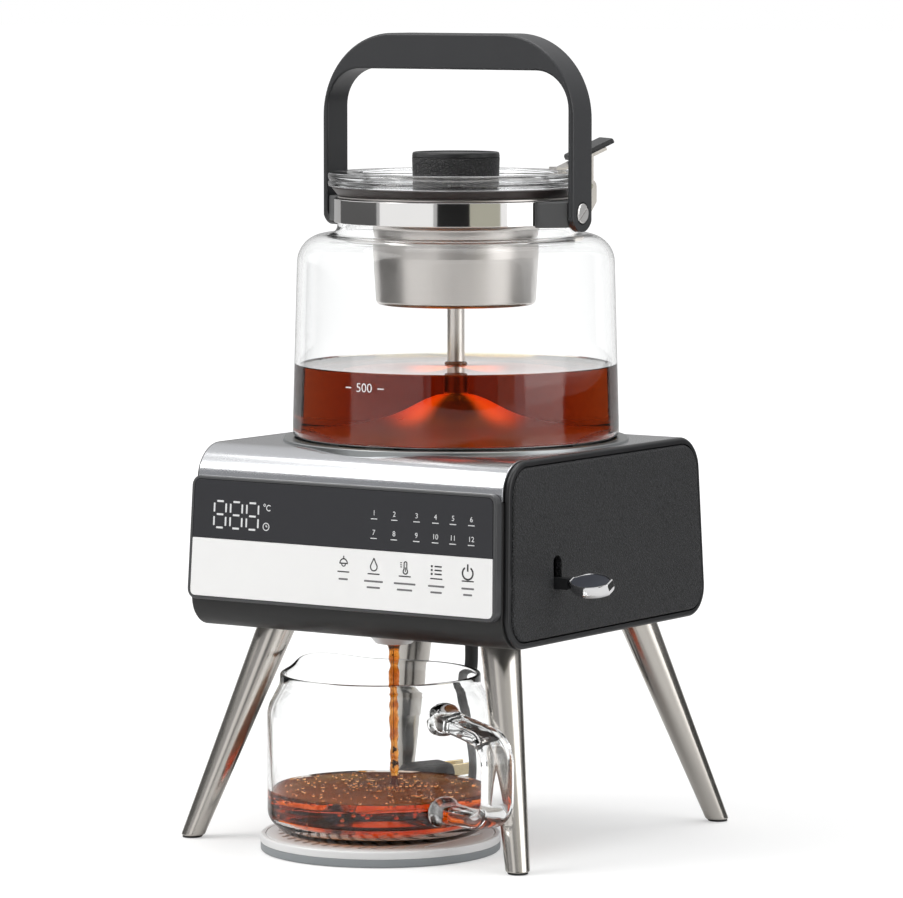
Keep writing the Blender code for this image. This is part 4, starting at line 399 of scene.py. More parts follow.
def piece(name, bm, look, body, nodes=(), slot=None, crease=32, firm=True):
    """Turn a bmesh in millimetres into a finished object on a body of the frame."""
    bmesh.ops.scale(bm, verts=bm.verts, vec=(MM, MM, MM))
    mesh = bpy.data.meshes.new(name)
    bm.to_mesh(mesh)
    bm.free()
    mesh.materials.append(look)
    mesh.shade_smooth()
    mesh.set_sharp_from_angle(angle=math.radians(crease))
    thing = bpy.data.objects.new(name, mesh)
    bpy.context.collection.objects.link(thing)
    if firm:
        thing.modifiers.new("flat faces", "WEIGHTED_NORMAL").keep_sharp = True
    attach(thing, body)
    if nodes:
        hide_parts(*nodes)
    return thing


def dress(node, look, slot=None):
    """Give a CAD node that stays its finish."""
    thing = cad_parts[node]
    thing.data.materials.clear()
    thing.data.materials.append(look)


# Shared effects

def effect(name, inputs, outputs):
    """An empty node group with named sockets."""
    tree = bpy.data.node_groups.new(name, "ShaderNodeTree")
    for label, kind, value in inputs:
        socket = tree.interface.new_socket(label, in_out="INPUT", socket_type="NodeSocket" + kind)
        socket.default_value = value
    for label, kind in outputs:
        tree.interface.new_socket(label, in_out="OUTPUT", socket_type="NodeSocket" + kind)
    return tree, tree.nodes.new("NodeGroupInput"), tree.nodes.new("NodeGroupOutput")


def node(tree, kind, values=None, **settings):
    """A shader node with settings, and with its inputs set or linked."""
    made = tree.nodes.new("ShaderNode" + kind)
    for key, value in settings.items():
        setattr(made, key, value)
    for key, value in (values or {}).items():
        if isinstance(value, bpy.types.NodeSocket):
            tree.links.new(value, made.inputs[key])
        else:
            made.inputs[key].default_value = value
    return made


def make_mottle():
    """Slow changes of tone and gloss over a surface."""
    tree, ins, outs = effect(
        "Mottle", (("Vector", "Vector", (0, 0, 0)), ("Color", "Color", (1, 1, 1, 1)), ("Scale", "Float", 40.0),
                   ("Spread", "Float", 0.06), ("Roughness", "Float", 0.4), ("Gloss Spread", "Float", 0.05)),
        (("Color", "Color"), ("Roughness", "Float")))
    wide = node(tree, "TexNoise", {"Vector": ins.outputs["Vector"], "Scale": ins.outputs["Scale"],
                                   "Detail": 4.0, "Roughness": 0.6})
    lift = node(tree, "Math", {0: wide.outputs["Fac"], 1: 0.5}, operation="SUBTRACT")
    share = node(tree, "Math", {0: lift.outputs[0], 1: ins.outputs["Spread"], 2: 1.0},
                 operation="MULTIPLY_ADD")
    tone = node(tree, "HueSaturation", {"Value": share.outputs[0], "Color": ins.outputs["Color"]})
    close = node(tree, "Math", {0: ins.outputs["Scale"], 1: 3.7}, operation="MULTIPLY")
    second = node(tree, "TexNoise", {"Vector": ins.outputs["Vector"], "Scale": close.outputs[0],
                                     "Detail": 5.0, "Roughness": 0.65})
    smear = node(tree, "Math", {0: second.outputs["Fac"], 1: 0.5}, operation="SUBTRACT")
    gloss = node(tree, "Math", {0: smear.outputs[0], 1: ins.outputs["Gloss Spread"],
                                2: ins.outputs["Roughness"]}, operation="MULTIPLY_ADD", use_clamp=True)
    tree.links.new(tone.outputs["Color"], outs.inputs["Color"])
    tree.links.new(gloss.outputs[0], outs.inputs["Roughness"])
    return tree


def make_hide():
    """Pebbled leather grain, with a mask of the creases between pebbles, where look() paints shade."""
    tree, ins, outs = effect("Hide Grain", (("Vector", "Vector", (0, 0, 0)), ("Scale", "Float", 1000.0)),
                             (("Height", "Float"), ("Crease Shade", "Float")))
    twist = node(tree, "TexNoise", {"Vector": ins.outputs["Vector"], "Scale": ins.outputs["Scale"],
                                    "Detail": 2.0})
    shift = node(tree, "VectorMath", {0: twist.outputs["Color"], "Scale": 0.0006}, operation="SCALE")
    spot = node(tree, "VectorMath", {0: ins.outputs["Vector"], 1: shift.outputs[0]}, operation="ADD")
    cells = node(tree, "TexVoronoi", {"Vector": spot.outputs[0], "Scale": ins.outputs["Scale"]},
                 feature="DISTANCE_TO_EDGE")
    dome = node(tree, "MapRange", {"Value": cells.outputs["Distance"], "From Min": 0.0, "From Max": 0.28},
                interpolation_type="SMOOTHSTEP")
    fine = node(tree, "Math", {0: twist.outputs["Fac"], 1: 0.35, 2: dome.outputs["Result"]},
                operation="MULTIPLY_ADD")
    crease = node(tree, "Math", {0: 1.0, 1: dome.outputs["Result"]}, operation="SUBTRACT")
    tree.links.new(fine.outputs[0], outs.inputs["Height"])
    tree.links.new(crease.outputs[0], outs.inputs["Crease Shade"])
    return tree


def make_streaks():
    """Noise drawn out along a direction, for brushed metal and fine moulding marks."""
    tree, ins, outs = effect("Streaks", (("Vector", "Vector", (0, 0, 0)), ("Stretch", "Vector", (1, 1, 1))),
                             (("Height", "Float"),))
    drawn = node(tree, "VectorMath", {0: ins.outputs["Vector"], 1: ins.outputs["Stretch"]},
                 operation="MULTIPLY")
    lines = node(tree, "TexNoise", {"Vector": drawn.outputs[0], "Scale": 1.0, "Detail": 4.0,
                                    "Roughness": 0.55})
    tree.links.new(lines.outputs["Fac"], outs.inputs["Height"])
    return tree


EFFECTS = {}


def ready_effects():
    """Build each shared effect once."""
    if not EFFECTS:
        EFFECTS.update(mottle=make_mottle(), hide=make_hide(), streaks=make_streaks())
    return EFFECTS


LOOKS = {}


def colour_of(value):
    """A finish's own colour, or the name of one of the panel's colours."""
    if isinstance(value, str):
        value = getattr(bpy.context.scene.tea_finishes, value)
    return (*value, 1.0)


# name: colour, roughness, metallic, tone spread, gloss spread, grain, stretch per metre, depth in mm
FINISHES = {
    "satin_silver": ("silver", 0.17, 0.95, 0.05, 0.04, "streaks", (900, 900, 900), 0.001),
    "collar_grey": ((0.33, 0.345, 0.35), 0.30, 0.9, 0.06, 0.05, "streaks", (900, 900, 900), 0.002),
    "shell_black": ("shell", 0.46, 0.0, 0.25, 0.12, "streaks", (1600, 1600, 1600), 0.02),
    "rim_charcoal": ("rim", 0.36, 0.0, 0.20, 0.12, "streaks", (1800, 1800, 1800), 0.012),
    "hide_charcoal": ("grain", 0.55, 0.0, 0.25, 0.15, "hide", None, 0.34),
    "handle_charcoal": ("handle", 0.38, 0.0, 0.20, 0.14, "streaks", (1500, 1500, 1500), 0.012),
    "boss_grey": ((0.085, 0.086, 0.088), 0.48, 0.0, 0.15, 0.1, "streaks", (1500, 1500, 1500), 0.02),
    "window_charcoal": ("window", 0.22, 0.0, 0.08, 0.06, "streaks", (300, 300, 300), 0.001),
    "touch_white": ("plate", 0.30, 0.0, 0.05, 0.10, "streaks", (40, 400, 1800), 0.002),
    "polished_steel": ((0.80, 0.79, 0.78), 0.07, 1.0, 0.05, 0.04, "streaks", (60, 60, 900), 0.0006),
    "satin_steel": ((0.66, 0.63, 0.60), 0.30, 1.0, 0.12, 0.12, "streaks", (25, 25, 2600), 0.004),
    "leg_steel": ("legs", 0.21, 1.0, 0.12, 0.10, "streaks", (2600, 2600, 60), 0.002),
    "chrome": ((0.86, 0.86, 0.87), 0.05, 1.0, 0.03, 0.04, "streaks", (200, 200, 200), 0.0004),
    "heater_cast": ((0.42, 0.42, 0.43), 0.42, 1.0, 0.20, 0.15, "streaks", (700, 700, 700), 0.02),
    "inner_white": ((0.62, 0.61, 0.58), 0.48, 0.0, 0.08, 0.1, "streaks", (1200, 1200, 1200), 0.01),
    "silicone": ((0.60, 0.60, 0.58), 0.42, 0.0, 0.10, 0.1, "streaks", (600, 600, 600), 0.01),
    "rubber": ((0.018, 0.018, 0.018), 0.70, 0.0, 0.25, 0.1, "streaks", (1600, 1600, 1600), 0.03),
    "seal_rubber": ((0.030, 0.022, 0.020), 0.35, 0.0, 0.25, 0.1, "streaks", (900, 900, 900), 0.01),
    "lead_black": ("lead", 0.50, 0.0, 0.25, 0.12, "streaks", (1200, 1200, 1200), 0.02),
    "frame_grey": ((0.066, 0.067, 0.070), 0.30, 0.0, 0.15, 0.1, "streaks", (1800, 1800, 1800), 0.008),
    "spout_steel": ((0.78, 0.78, 0.78), 0.40, 0.35, 0.04, 0.04, "streaks", (200, 200, 200), 0.001),
    "basket_steel": ((0.50, 0.475, 0.455), 0.30, 1.0, 0.12, 0.12, "streaks", (25, 25, 2600), 0.004),
    "knob_charcoal": ((0.036, 0.0365, 0.038), 0.50, 0.0, 0.25, 0.15, "hide", None, 0.24),
    "tray_white": ((0.86, 0.86, 0.86), 0.40, 0.0, 0.04, 0.1, "streaks", (1400, 1400, 1400), 0.012),
    "froth": ((0.66, 0.15, 0.01), 0.50, 0.0, 1.0, 0.1, "hide", None, 0.30),
    "print_grey": ((0.17, 0.17, 0.175), 0.45, 0.0, 0.05, 0.05, "streaks", (900, 900, 900), 0.002),
    "tap_slate": ((0.075, 0.081, 0.100), 0.30, 0.2, 0.10, 0.1, "streaks", (900, 900, 900), 0.003),
    "meniscus_brown": ((0.16, 0.055, 0.018), 0.25, 0.0, 0.20, 0.1, "streaks", (700, 700, 700), 0.01),
    "tray_grey": ("tray", 0.38, 0.0, 0.08, 0.1, "streaks", (1400, 1400, 1400), 0.012),
    "board_green": ((0.02, 0.11, 0.05), 0.35, 0.0, 0.30, 0.2, "streaks", (500, 500, 500), 0.02),
    "print_white": ((0.82, 0.83, 0.84), 0.45, 0.0, 0.05, 0.05, "streaks", (900, 900, 900), 0.002),
    "print_black": ((0.020, 0.020, 0.021), 0.45, 0.0, 0.10, 0.05, "streaks", (900, 900, 900), 0.002),
    "brass": ((0.72, 0.60, 0.38), 0.25, 1.0, 0.08, 0.08, "streaks", (900, 60, 900), 0.002),
}


def look(name):
    """The material of a plain finish, built on first use."""
    if name in LOOKS:
        return LOOKS[name]
    effects = ready_effects()
    colour, roughness, metallic, spread, gloss, grain, stretch, depth = FINISHES[name]
    made = bpy.data.materials.new(name)
    made.use_nodes = True
    tree = made.node_tree
    shader = tree.nodes["Principled BSDF"]
    shader.inputs["Metallic"].default_value = metallic
    where = node(tree, "TexCoord").outputs["Object"]
    mottle = node(tree, "Group", node_tree=effects["mottle"])
    tree.links.new(where, mottle.inputs["Vector"])
    mottle.inputs["Color"].default_value = colour_of(colour)
    mottle.inputs["Spread"].default_value = spread
    mottle.inputs["Roughness"].default_value = roughness
    mottle.inputs["Gloss Spread"].default_value = gloss
    tone = mottle.outputs["Color"]
    if grain == "hide":
        pebbles = node(tree, "Group", node_tree=effects["hide"])
        tree.links.new(where, pebbles.inputs["Vector"])
        pebbles.inputs["Scale"].default_value = 1 / bpy.context.scene.tea_sizes.hide_grain
        # Painted shade: the base colour is multiplied towards 0.3 grey in the creases between pebbles.
        shade = node(tree, "Mix", {0: 0.5, 6: tone, 7: (0.3, 0.3, 0.3, 1)}, data_type="RGBA",
                     blend_type="MULTIPLY")
        tree.links.new(pebbles.outputs["Crease Shade"], shade.inputs[0])
        tone = shade.outputs[2]
        height = pebbles.outputs["Height"]
    else:
        lines = node(tree, "Group", node_tree=effects["streaks"])
        tree.links.new(where, lines.inputs["Vector"])
        lines.inputs["Stretch"].default_value = stretch
        height = lines.outputs["Height"]
    bump = node(tree, "Bump", {"Height": height, "Distance": depth * MM, "Strength": 1.0})
    tree.links.new(tone, shader.inputs["Base Color"])
    tree.links.new(mottle.outputs["Roughness"], shader.inputs["Roughness"])
    tree.links.new(bump.outputs[0], shader.inputs["Normal"])
    LOOKS[name] = made
    return made


def clear_look(name, tint, ior, shade, wave=0.02, roughness=0.0, density=0.0, through=(1, 1, 1), gloss=0.5,
               swirl=None):
    """Glass or tea: light from the lamps passes it tinted, and a body of it takes up light."""
    if name in LOOKS:
        return LOOKS[name]
    made = bpy.data.materials.new(name)
    made.use_nodes = True
    tree = made.node_tree
    shader = tree.nodes["Principled BSDF"]
    shader.inputs["Base Color"].default_value = (*tint, 1)
    shader.inputs["Roughness"].default_value = roughness
    shader.inputs["IOR"].default_value = ior
    shader.inputs["Transmission Weight"].default_value = 1.0
    shader.inputs["Specular IOR Level"].default_value = gloss
    where = node(tree, "TexCoord").outputs["Object"]
    ripple = node(tree, "TexNoise", {"Vector": where, "Scale": 28.0, "Detail": 1.0})
    if swirl:
        eddy = node(tree, "TexNoise", {"Vector": where, "Scale": 52.0, "Detail": 3.0, "Distortion": 1.6})
        share = node(tree, "MapRange", {"Value": eddy.outputs["Fac"], "From Min": 0.44, "From Max": 0.60},
                     interpolation_type="SMOOTHSTEP")
        tone = node(tree, "Mix", {0: share.outputs["Result"], 6: (*tint, 1), 7: (*swirl, 1)}, data_type="RGBA")
        tree.links.new(tone.outputs[2], shader.inputs["Base Color"])
    bump = node(tree, "Bump", {"Height": ripple.outputs["Fac"], "Distance": wave * MM, "Strength": 1.0})
    tree.links.new(bump.outputs[0], shader.inputs["Normal"])
    path = node(tree, "LightPath")
    passing = node(tree, "Math", {0: path.outputs["Is Shadow Ray"], 1: path.outputs["Is Diffuse Ray"]},
                   operation="MAXIMUM")
    open_way = node(tree, "BsdfTransparent", {"Color": (*shade, 1)})
    mix = node(tree, "MixShader", {0: passing.outputs[0], 1: shader.outputs[0], 2: open_way.outputs[0]})
    out = tree.nodes["Material Output"]
    tree.links.new(mix.outputs[0], out.inputs["Surface"])
    if density:
        depth = node(tree, "VolumeAbsorption", {"Color": (*through, 1), "Density": density})
        tree.links.new(depth.outputs[0], out.inputs["Volume"])
    LOOKS[name] = made
    return made


def glass_look(name="clear_glass", ior=1.47):
    return clear_look(name, (0.985, 0.99, 0.99), ior, (0.93, 0.94, 0.94))


def blown_look():
    """Thin walls, whose two faces together reflect as much as one."""
    return glass_look("blown_glass", 1.27)


def make_painted_glow(right):
    """A mask for the orange glow painted on both sides of the stem's bell: painted light standing in for what the tea
    gathers there.
    """
    tree, ins, outs = effect("Bell Painted Glow", (("Vector", "Vector", (0, 0, 0)),), (("Fac", "Float"),))
    foot = KETTLE_Z * MM
    spot = node(tree, "VectorMath", {0: ins.outputs["Vector"], 1: (0, KETTLE_Y * MM, 0)}, operation="SUBTRACT")
    level = node(tree, "VectorMath", {0: spot.outputs[0], 1: (1, 1, 0)}, operation="MULTIPLY")
    reach = node(tree, "VectorMath", {0: level.outputs[0]}, operation="LENGTH")
    side = node(tree, "VectorMath", {0: level.outputs[0], 1: right}, operation="DOT_PRODUCT")
    side = node(tree, "Math", {0: side.outputs["Value"]}, operation="ABSOLUTE")
    share = node(tree, "Math", {0: side.outputs[0], 1: reach.outputs["Value"]}, operation="DIVIDE")
    rise = node(tree, "SeparateXYZ", {0: ins.outputs["Vector"]}).outputs["Z"]

    def step(value, start, end, low_value=0.0):
        return node(tree, "MapRange", {"Value": value, "From Min": start, "From Max": end, "To Min": low_value},
                    interpolation_type="SMOOTHSTEP").outputs["Result"]

    lobe = step(share.outputs[0], 0.34, 0.80)
    for limit in (step(side.outputs[0], 0.031, 0.013), step(rise, foot + 0.003, foot + 0.0135, 0.04),
                  step(rise, foot + 0.0235, foot + 0.021)):
        lobe = node(tree, "Math", {0: lobe, 1: limit}, operation="MULTIPLY").outputs[0]
    floor = step(rise, foot + 0.0235, foot + 0.002)
    both = node(tree, "Math", {0: floor, 1: 0.06, 2: lobe}, operation="MULTIPLY_ADD")
    tree.links.new(both.outputs[0], outs.inputs["Fac"])
    return tree


def bell_painted_glow_look():
    """Satin steel with an orange glow painted on the bell as emission: painted light."""
    made = look("satin_steel").copy()
    made.name = "stem_steel_painted_glow"
    tree = made.node_tree
    shader = tree.nodes["Principled BSDF"]
    azimuth = bpy.context.scene.tea_studio.azimuth
    where = node(tree, "TexCoord").outputs["Object"]
    glow = node(tree, "Group", node_tree=make_painted_glow((math.cos(azimuth), math.sin(azimuth), 0)))
    tree.links.new(where, glow.inputs["Vector"])
    # Painted light: orange emission where the mask lies, though the bell is no lamp.
    tone = node(tree, "Mix", {0: glow.outputs[0], 6: (0, 0, 0, 1), 7: (0.88, 0.19, 0.0, 1)}, data_type="RGBA")
    tree.links.new(tone.outputs[2], shader.inputs["Emission Color"])
    shader.inputs["Emission Strength"].default_value = 2.4
    return made


def light_card(name, tone, strength=0.0):
    """What a reflector or a dark card shows."""
    made = bpy.data.materials.new(name)
    made.use_nodes = True
    tree = made.node_tree
    tree.nodes.clear()
    glow = node(tree, "Emission", {"Color": (*tone, 1), "Strength": strength})
    out = node(tree, "OutputMaterial")
    tree.links.new(glow.outputs[0], out.inputs["Surface"])
    return made


# Shapes of this tea maker

def side_outline(inset=0.0, proud=0.0):
    """The body's side view in (y, z, corner radius), moved inwards by an inset."""
    rows = []
    for level, radius in ((BODY_LOW + inset, 15.0), (BODY_TOP - inset, 17.0)):
        half = BODY_DEPTH / 2 + math.tan(LEAN) * (BODY_MIDDLE - level) + proud - inset
        rows.append((half, level, max(radius - inset, 0.5)))
    (a, za, ra), (b, zb, rb) = rows
    return [(BODY_Y - a, za, ra), (BODY_Y + a, za, ra), (BODY_Y + b, zb, rb), (BODY_Y - b, zb, rb)]


def hoop(wall, upper):
    """The part of the body's hoop above or below the parting line, as bent sheet."""
    bm = flat(side_outline(0, BODY_PROUD))
    bmesh.ops.delete(bm, geom=bm.faces[:], context="FACES_ONLY")
    made = bmesh.ops.extrude_edge_only(bm, edges=bm.edges[:])["geom"]
    bmesh.ops.translate(bm, verts=[v for v in made if isinstance(v, bmesh.types.BMVert)],
                        vec=(0, 2 * SEAM, 0))
    moved(bm, (0, -SEAM, 0))
    placed(bm, AXES["X"])
    level = PARTING if upper else PARTING - 0.3
    bmesh.ops.bisect_plane(bm, geom=bm.verts[:] + bm.edges[:] + bm.faces[:], plane_co=(0, 0, level),
                           plane_no=(0, 0, 1), clear_inner=upper, clear_outer=not upper)
    bmesh.ops.recalc_face_normals(bm, faces=bm.faces)
    middle = Vector((0, BODY_Y, BODY_MIDDLE))
    face = max(bm.faces, key=lambda f: f.calc_area())
    if face.normal.dot(face.calc_center_median() - middle) < 0:
        bmesh.ops.reverse_faces(bm, faces=bm.faces)
    bmesh.ops.solidify(bm, geom=bm.faces[:], thickness=wall)
    return soften(bm, 0.3)


def drafted(bm):
    """Draw the housing in a little towards its top."""
    for vert in bm.verts:
        vert.co.x *= 1 - DRAFT * (vert.co.z - BODY_MIDDLE)
    return bm


def panel_place():
    """The panel's own frame: X across, Z up the leaning face, -Y outwards."""
    front = BODY_Y - (BODY_DEPTH / 2 + math.tan(LEAN) * (BODY_MIDDLE - PANEL_Z) + BODY_PROUD)
    return Matrix.Translation((0, front - 0.3, PANEL_Z)) @ Matrix.Rotation(-LEAN, 4, "X")


def oblong(width, height, radius, middle=(0, 0)):
    x, y = middle
    w, h = width / 2, height / 2
    radii = radius if isinstance(radius, tuple) else (radius,) * 4
    return [(x - w, y - h, radii[0]), (x + w, y - h, radii[1]), (x + w, y + h, radii[2]),
            (x - w, y + h, radii[3])]


def leg_spots(x, y):
    for end, sign_y in (("front", -1), ("rear", 1)):
        for side, sign_x in (("left", -1), ("right", 1)):
            yield f"{end}_{side}", sign_x * x, KETTLE_Y + 1.5 + sign_y * y


def smooth_route(points, steps):
    """Points on one smooth curve through the route's own points."""
    spots = [Vector(p) for p in points]
    ends = [2 * spots[0] - spots[1]] + spots + [2 * spots[-1] - spots[-2]]
    curve = [spots[0]]
    for a, b, c, d in zip(ends, ends[1:], ends[2:], ends[3:]):
        for k in range(1, steps + 1):
            t = k / steps
            bend = (2 * a - 5 * b + 4 * c - d) * t * t + (3 * b - a - 3 * c + d) * t ** 3
            curve.append((2 * b + (c - a) * t + bend) / 2)
    return curve


# Route of the mains lead, in metres, as in the solid
LEAD_ROUTE = (
    (-0.0340, 0.1335, 0.0770), (-0.0343, 0.1330, 0.0690), (-0.0342, 0.1328, 0.0610), (-0.0331, 0.1331, 0.0530),
    (-0.0310, 0.1335, 0.0450), (-0.0282, 0.1333, 0.0372), (-0.0250, 0.1316, 0.0299), (-0.0218, 0.1280, 0.0233),
    (-0.0190, 0.1224, 0.0178), (-0.0167, 0.1150, 0.0136), (-0.01535, 0.1064, 0.01135),
)
LEAD_R = 0.0035
COIL_TURNS = 3 + 210 / 360
COIL_MIDDLE = Vector((-0.057, 0.0915, 0))


def coil_point(turns):
    """A point of the coil: the top layer winds in, the lower one out again."""
    middle = COIL_TURNS / 2
    radius = 0.042 - 0.0075 * (middle - abs(turns - middle))
    climb = min(max((turns - middle) / 0.5 + 0.5, 0), 1)
    eased = climb * climb * (3 - 2 * climb)
    angle = -TURN * turns
    height = LEAD_R + 0.0075 * (1 - eased)
    return COIL_MIDDLE + Vector((radius * math.cos(angle), radius * math.sin(angle), height))


class TEA_OT_stage(bpy.types.Operator):
    """Set the camera, floor, lamps and reflector cards."""

    bl_idname = "teamaker.stage"
    bl_label = "Stage"

    def execute(self, context):
        studio = context.scene.tea_studio
        a, p = studio.azimuth, studio.pitch
        self.right = Vector((math.cos(a), math.sin(a), 0))
        self.back = Vector((math.sin(a) * math.cos(p), -math.cos(a) * math.cos(p), math.sin(p)))
        axis = Vector((0, KETTLE_Y * MM, 0))
        self.middle = axis + self.right * studio.shift + Vector((0, 0, studio.aim))
        lens = bpy.data.cameras.new("camera")
        lens.lens = studio.lens
        lens.sensor_width = 36.0
        lens.clip_start = 0.1
        lens.clip_end = 50.0
        camera = bpy.data.objects.new("camera", lens)
        context.collection.objects.link(camera)
        camera.location = self.middle + self.back * studio.distance
        camera.rotation_mode = "QUATERNION"
        camera.rotation_quaternion = (-self.back).to_track_quat("-Z", "Y")
        context.scene.camera = camera
        context.scene.view_settings.view_transform = "Standard"
        self.floor(context)
        self.world(context)
        self.lamp(context, "key_lamp", (-1.49, 0.2, 1.5), (1.2, 1.2), studio.key, (1.0, 0.99, 0.97))
        self.lamp(context, "fill_lamp", (1.6, 0.7, 0.8), (1.2, 1.4), studio.fill, (1.0, 1.0, 1.0))
        self.lamp(context, "top_lamp", (0.1, -0.2, 1.9), (1.2, 1.2), studio.top, (1.0, 1.0, 1.0))
        cards = (
            ("dark_left", -137, -78, 0.8, -0.25, 0.30, (0.11, 0.11, 0.11), "both"),
            ("dark_right", 80, 137, 0.8, -0.25, 0.20, (0.05, 0.05, 0.05), "both"),
            ("soft_box_side", -137, -80, 1.1, 0.42, 1.6, (1.0, 1.0, 1.0), "both"),
            ("soft_box_left", -76, -21, 3.1, -0.7, 0.46, (1.0, 1.0, 1.0), "both"),
            ("grey_left_top", -76, -44, 3.1, 0.46, 1.7, (0.34, 0.34, 0.35), "both"),
            ("soft_box_left_top", -44, -21, 3.1, 0.46, 1.7, (1.0, 1.0, 1.0), "both"),
            ("grey_left", -21, -17.4, 3.1, -0.7, 1.7, (0.50, 0.50, 0.50), "both"),
            ("dark_middle", -17.4, 12.8, 3.1, -0.7, 1.7, (0.015, 0.015, 0.015), "both"),
            ("warm_right", 12.8, 42, 3.1, -0.7, 1.7, (0.46, 0.45, 0.37), "both"),
            ("dark_inside", -24, 42, 2.9, -0.7, 1.7, (0.07, 0.066, 0.062), "through glass"),
            ("soft_box_right", 42, 78, 3.1, -0.7, 1.7, (1.0, 1.0, 1.0), "both"))
        for name, start, end, reach, low_z, high_z, tone, seen in cards:
            middle, half = math.radians((start + end) / 2), math.radians((end - start) / 2)
            place = (reach * math.sin(middle), reach * math.cos(middle), (low_z + high_z) / 2)
            card = self.card(context, name, place, (2 * reach * math.tan(half), high_z - low_z), tone)
            card.visible_glossy = seen != "through glass"
            card.visible_transmission = seen != "mirrored"
        return {"FINISHED"}

    def spot(self, across, towards, up):
        level = Vector((self.back.x, self.back.y, 0)).normalized()
        return Vector((0, KETTLE_Y * MM, 0)) + self.right * across + level * towards + Vector((0, 0, up))

    def lamp(self, context, name, place, size, power, colour):
        data = bpy.data.lights.new(name, "AREA")
        data.shape = "RECTANGLE"
        data.size, data.size_y = size
        data.energy = power
        data.color = colour
        thing = bpy.data.objects.new(name, data)
        context.collection.objects.link(thing)
        thing.location = self.spot(*place)
        thing.rotation_mode = "QUATERNION"
        thing.rotation_quaternion = (self.middle - thing.location).to_track_quat("-Z", "Y")

    def card(self, context, name, place, size, tone):
        """An upright card out of view that glass and metal show."""
        bm = bmesh.new()
        bmesh.ops.create_grid(bm, x_segments=1, y_segments=1, size=0.5)
        bmesh.ops.scale(bm, verts=bm.verts, vec=(*size, 1))
        centre = self.spot(*place)
        aim = (self.middle - centre)
        aim.z = 0
        turn = aim.to_track_quat("Z", "Y").to_matrix().to_4x4()
        placed(bm, Matrix.Translation(centre) @ turn)
        mesh = bpy.data.meshes.new(name)
        bm.to_mesh(mesh)
        bm.free()
        mesh.materials.append(light_card(name, tone, 1.0))
        thing = bpy.data.objects.new(name, mesh)
        context.collection.objects.link(thing)
        thing.visible_camera = False
        thing.visible_diffuse = False
        thing.visible_shadow = False
        return thing

    def floor(self, context):
        bm = bmesh.new()
        bmesh.ops.create_grid(bm, x_segments=1, y_segments=1, size=30)
        moved(bm, (0, 0, -0.0002))
        mesh = bpy.data.meshes.new("floor")
        bm.to_mesh(mesh)
        bm.free()
        made = bpy.data.materials.new("floor")
        made.use_nodes = True
        tree = made.node_tree
        tree.nodes.clear()
        plain = node(tree, "BsdfDiffuse", {"Color": (0.62, 0.62, 0.62, 1)})
        where = node(tree, "TexCoord").outputs["Object"]
        reach = node(tree, "VectorMath", {0: where, 1: tuple(self.middle)}, operation="DISTANCE")
        lift = node(tree, "MapRange", {"Value": reach.outputs["Value"], "From Min": 0.35, "From Max": 2.2,
                                       "To Min": 0.42, "To Max": 0.75}, interpolation_type="SMOOTHSTEP")
        glow = node(tree, "Emission", {"Color": (1, 1, 1, 1), "Strength": lift.outputs["Result"]})
        path = node(tree, "LightPath")
        seen = node(tree, "Math", {0: path.outputs["Is Camera Ray"], 1: path.outputs["Is Transmission Ray"]},
                    operation="MAXIMUM")
        glossy = node(tree, "Math", {0: path.outputs["Is Glossy Ray"], 1: 0.15}, operation="MULTIPLY")
        seen = node(tree, "Math", {0: seen.outputs[0], 1: glossy.outputs[0]}, operation="MAXIMUM")
        both = node(tree, "AddShader", {0: plain.outputs[0], 1: glow.outputs[0]})
        mix = node(tree, "MixShader", {0: seen.outputs[0], 1: plain.outputs[0], 2: both.outputs[0]})
        out = node(tree, "OutputMaterial")
        tree.links.new(mix.outputs[0], out.inputs["Surface"])
        mesh.materials.append(made)
        thing = bpy.data.objects.new("floor", mesh)
        context.collection.objects.link(thing)

    def world(self, context):
        world = bpy.data.worlds.new("studio")
        context.scene.world = world
        world.use_nodes = True
        tree = world.node_tree
        tree.nodes.clear()
        path = node(tree, "LightPath")
        ray = node(tree, "TexCoord").outputs["Generated"]
        climb = node(tree, "SeparateXYZ", {0: ray})
        shown = node(tree, "MapRange", {"Value": climb.outputs["Z"], "From Min": 0.02, "From Max": 0.85,
                                        "To Min": 0.36, "To Max": 0.80}, interpolation_type="SMOOTHSTEP")
        gloss = node(tree, "MapRange", {"Value": path.outputs["Is Glossy Ray"], "To Min": 0.55})
        tree.links.new(shown.outputs["Result"], gloss.inputs["To Max"])
        seen = node(tree, "Math", {0: path.outputs["Is Camera Ray"], 1: path.outputs["Is Transmission Ray"]},
                    operation="MAXIMUM")
        strength = node(tree, "MapRange", {"Value": seen.outputs[0], "To Max": 1.0})
        tree.links.new(gloss.outputs["Result"], strength.inputs["To Min"])
        air = node(tree, "Background", {"Color": (1, 1, 1, 1), "Strength": strength.outputs["Result"]})
        out = node(tree, "OutputWorld")
        tree.links.new(air.outputs[0], out.inputs["Surface"])


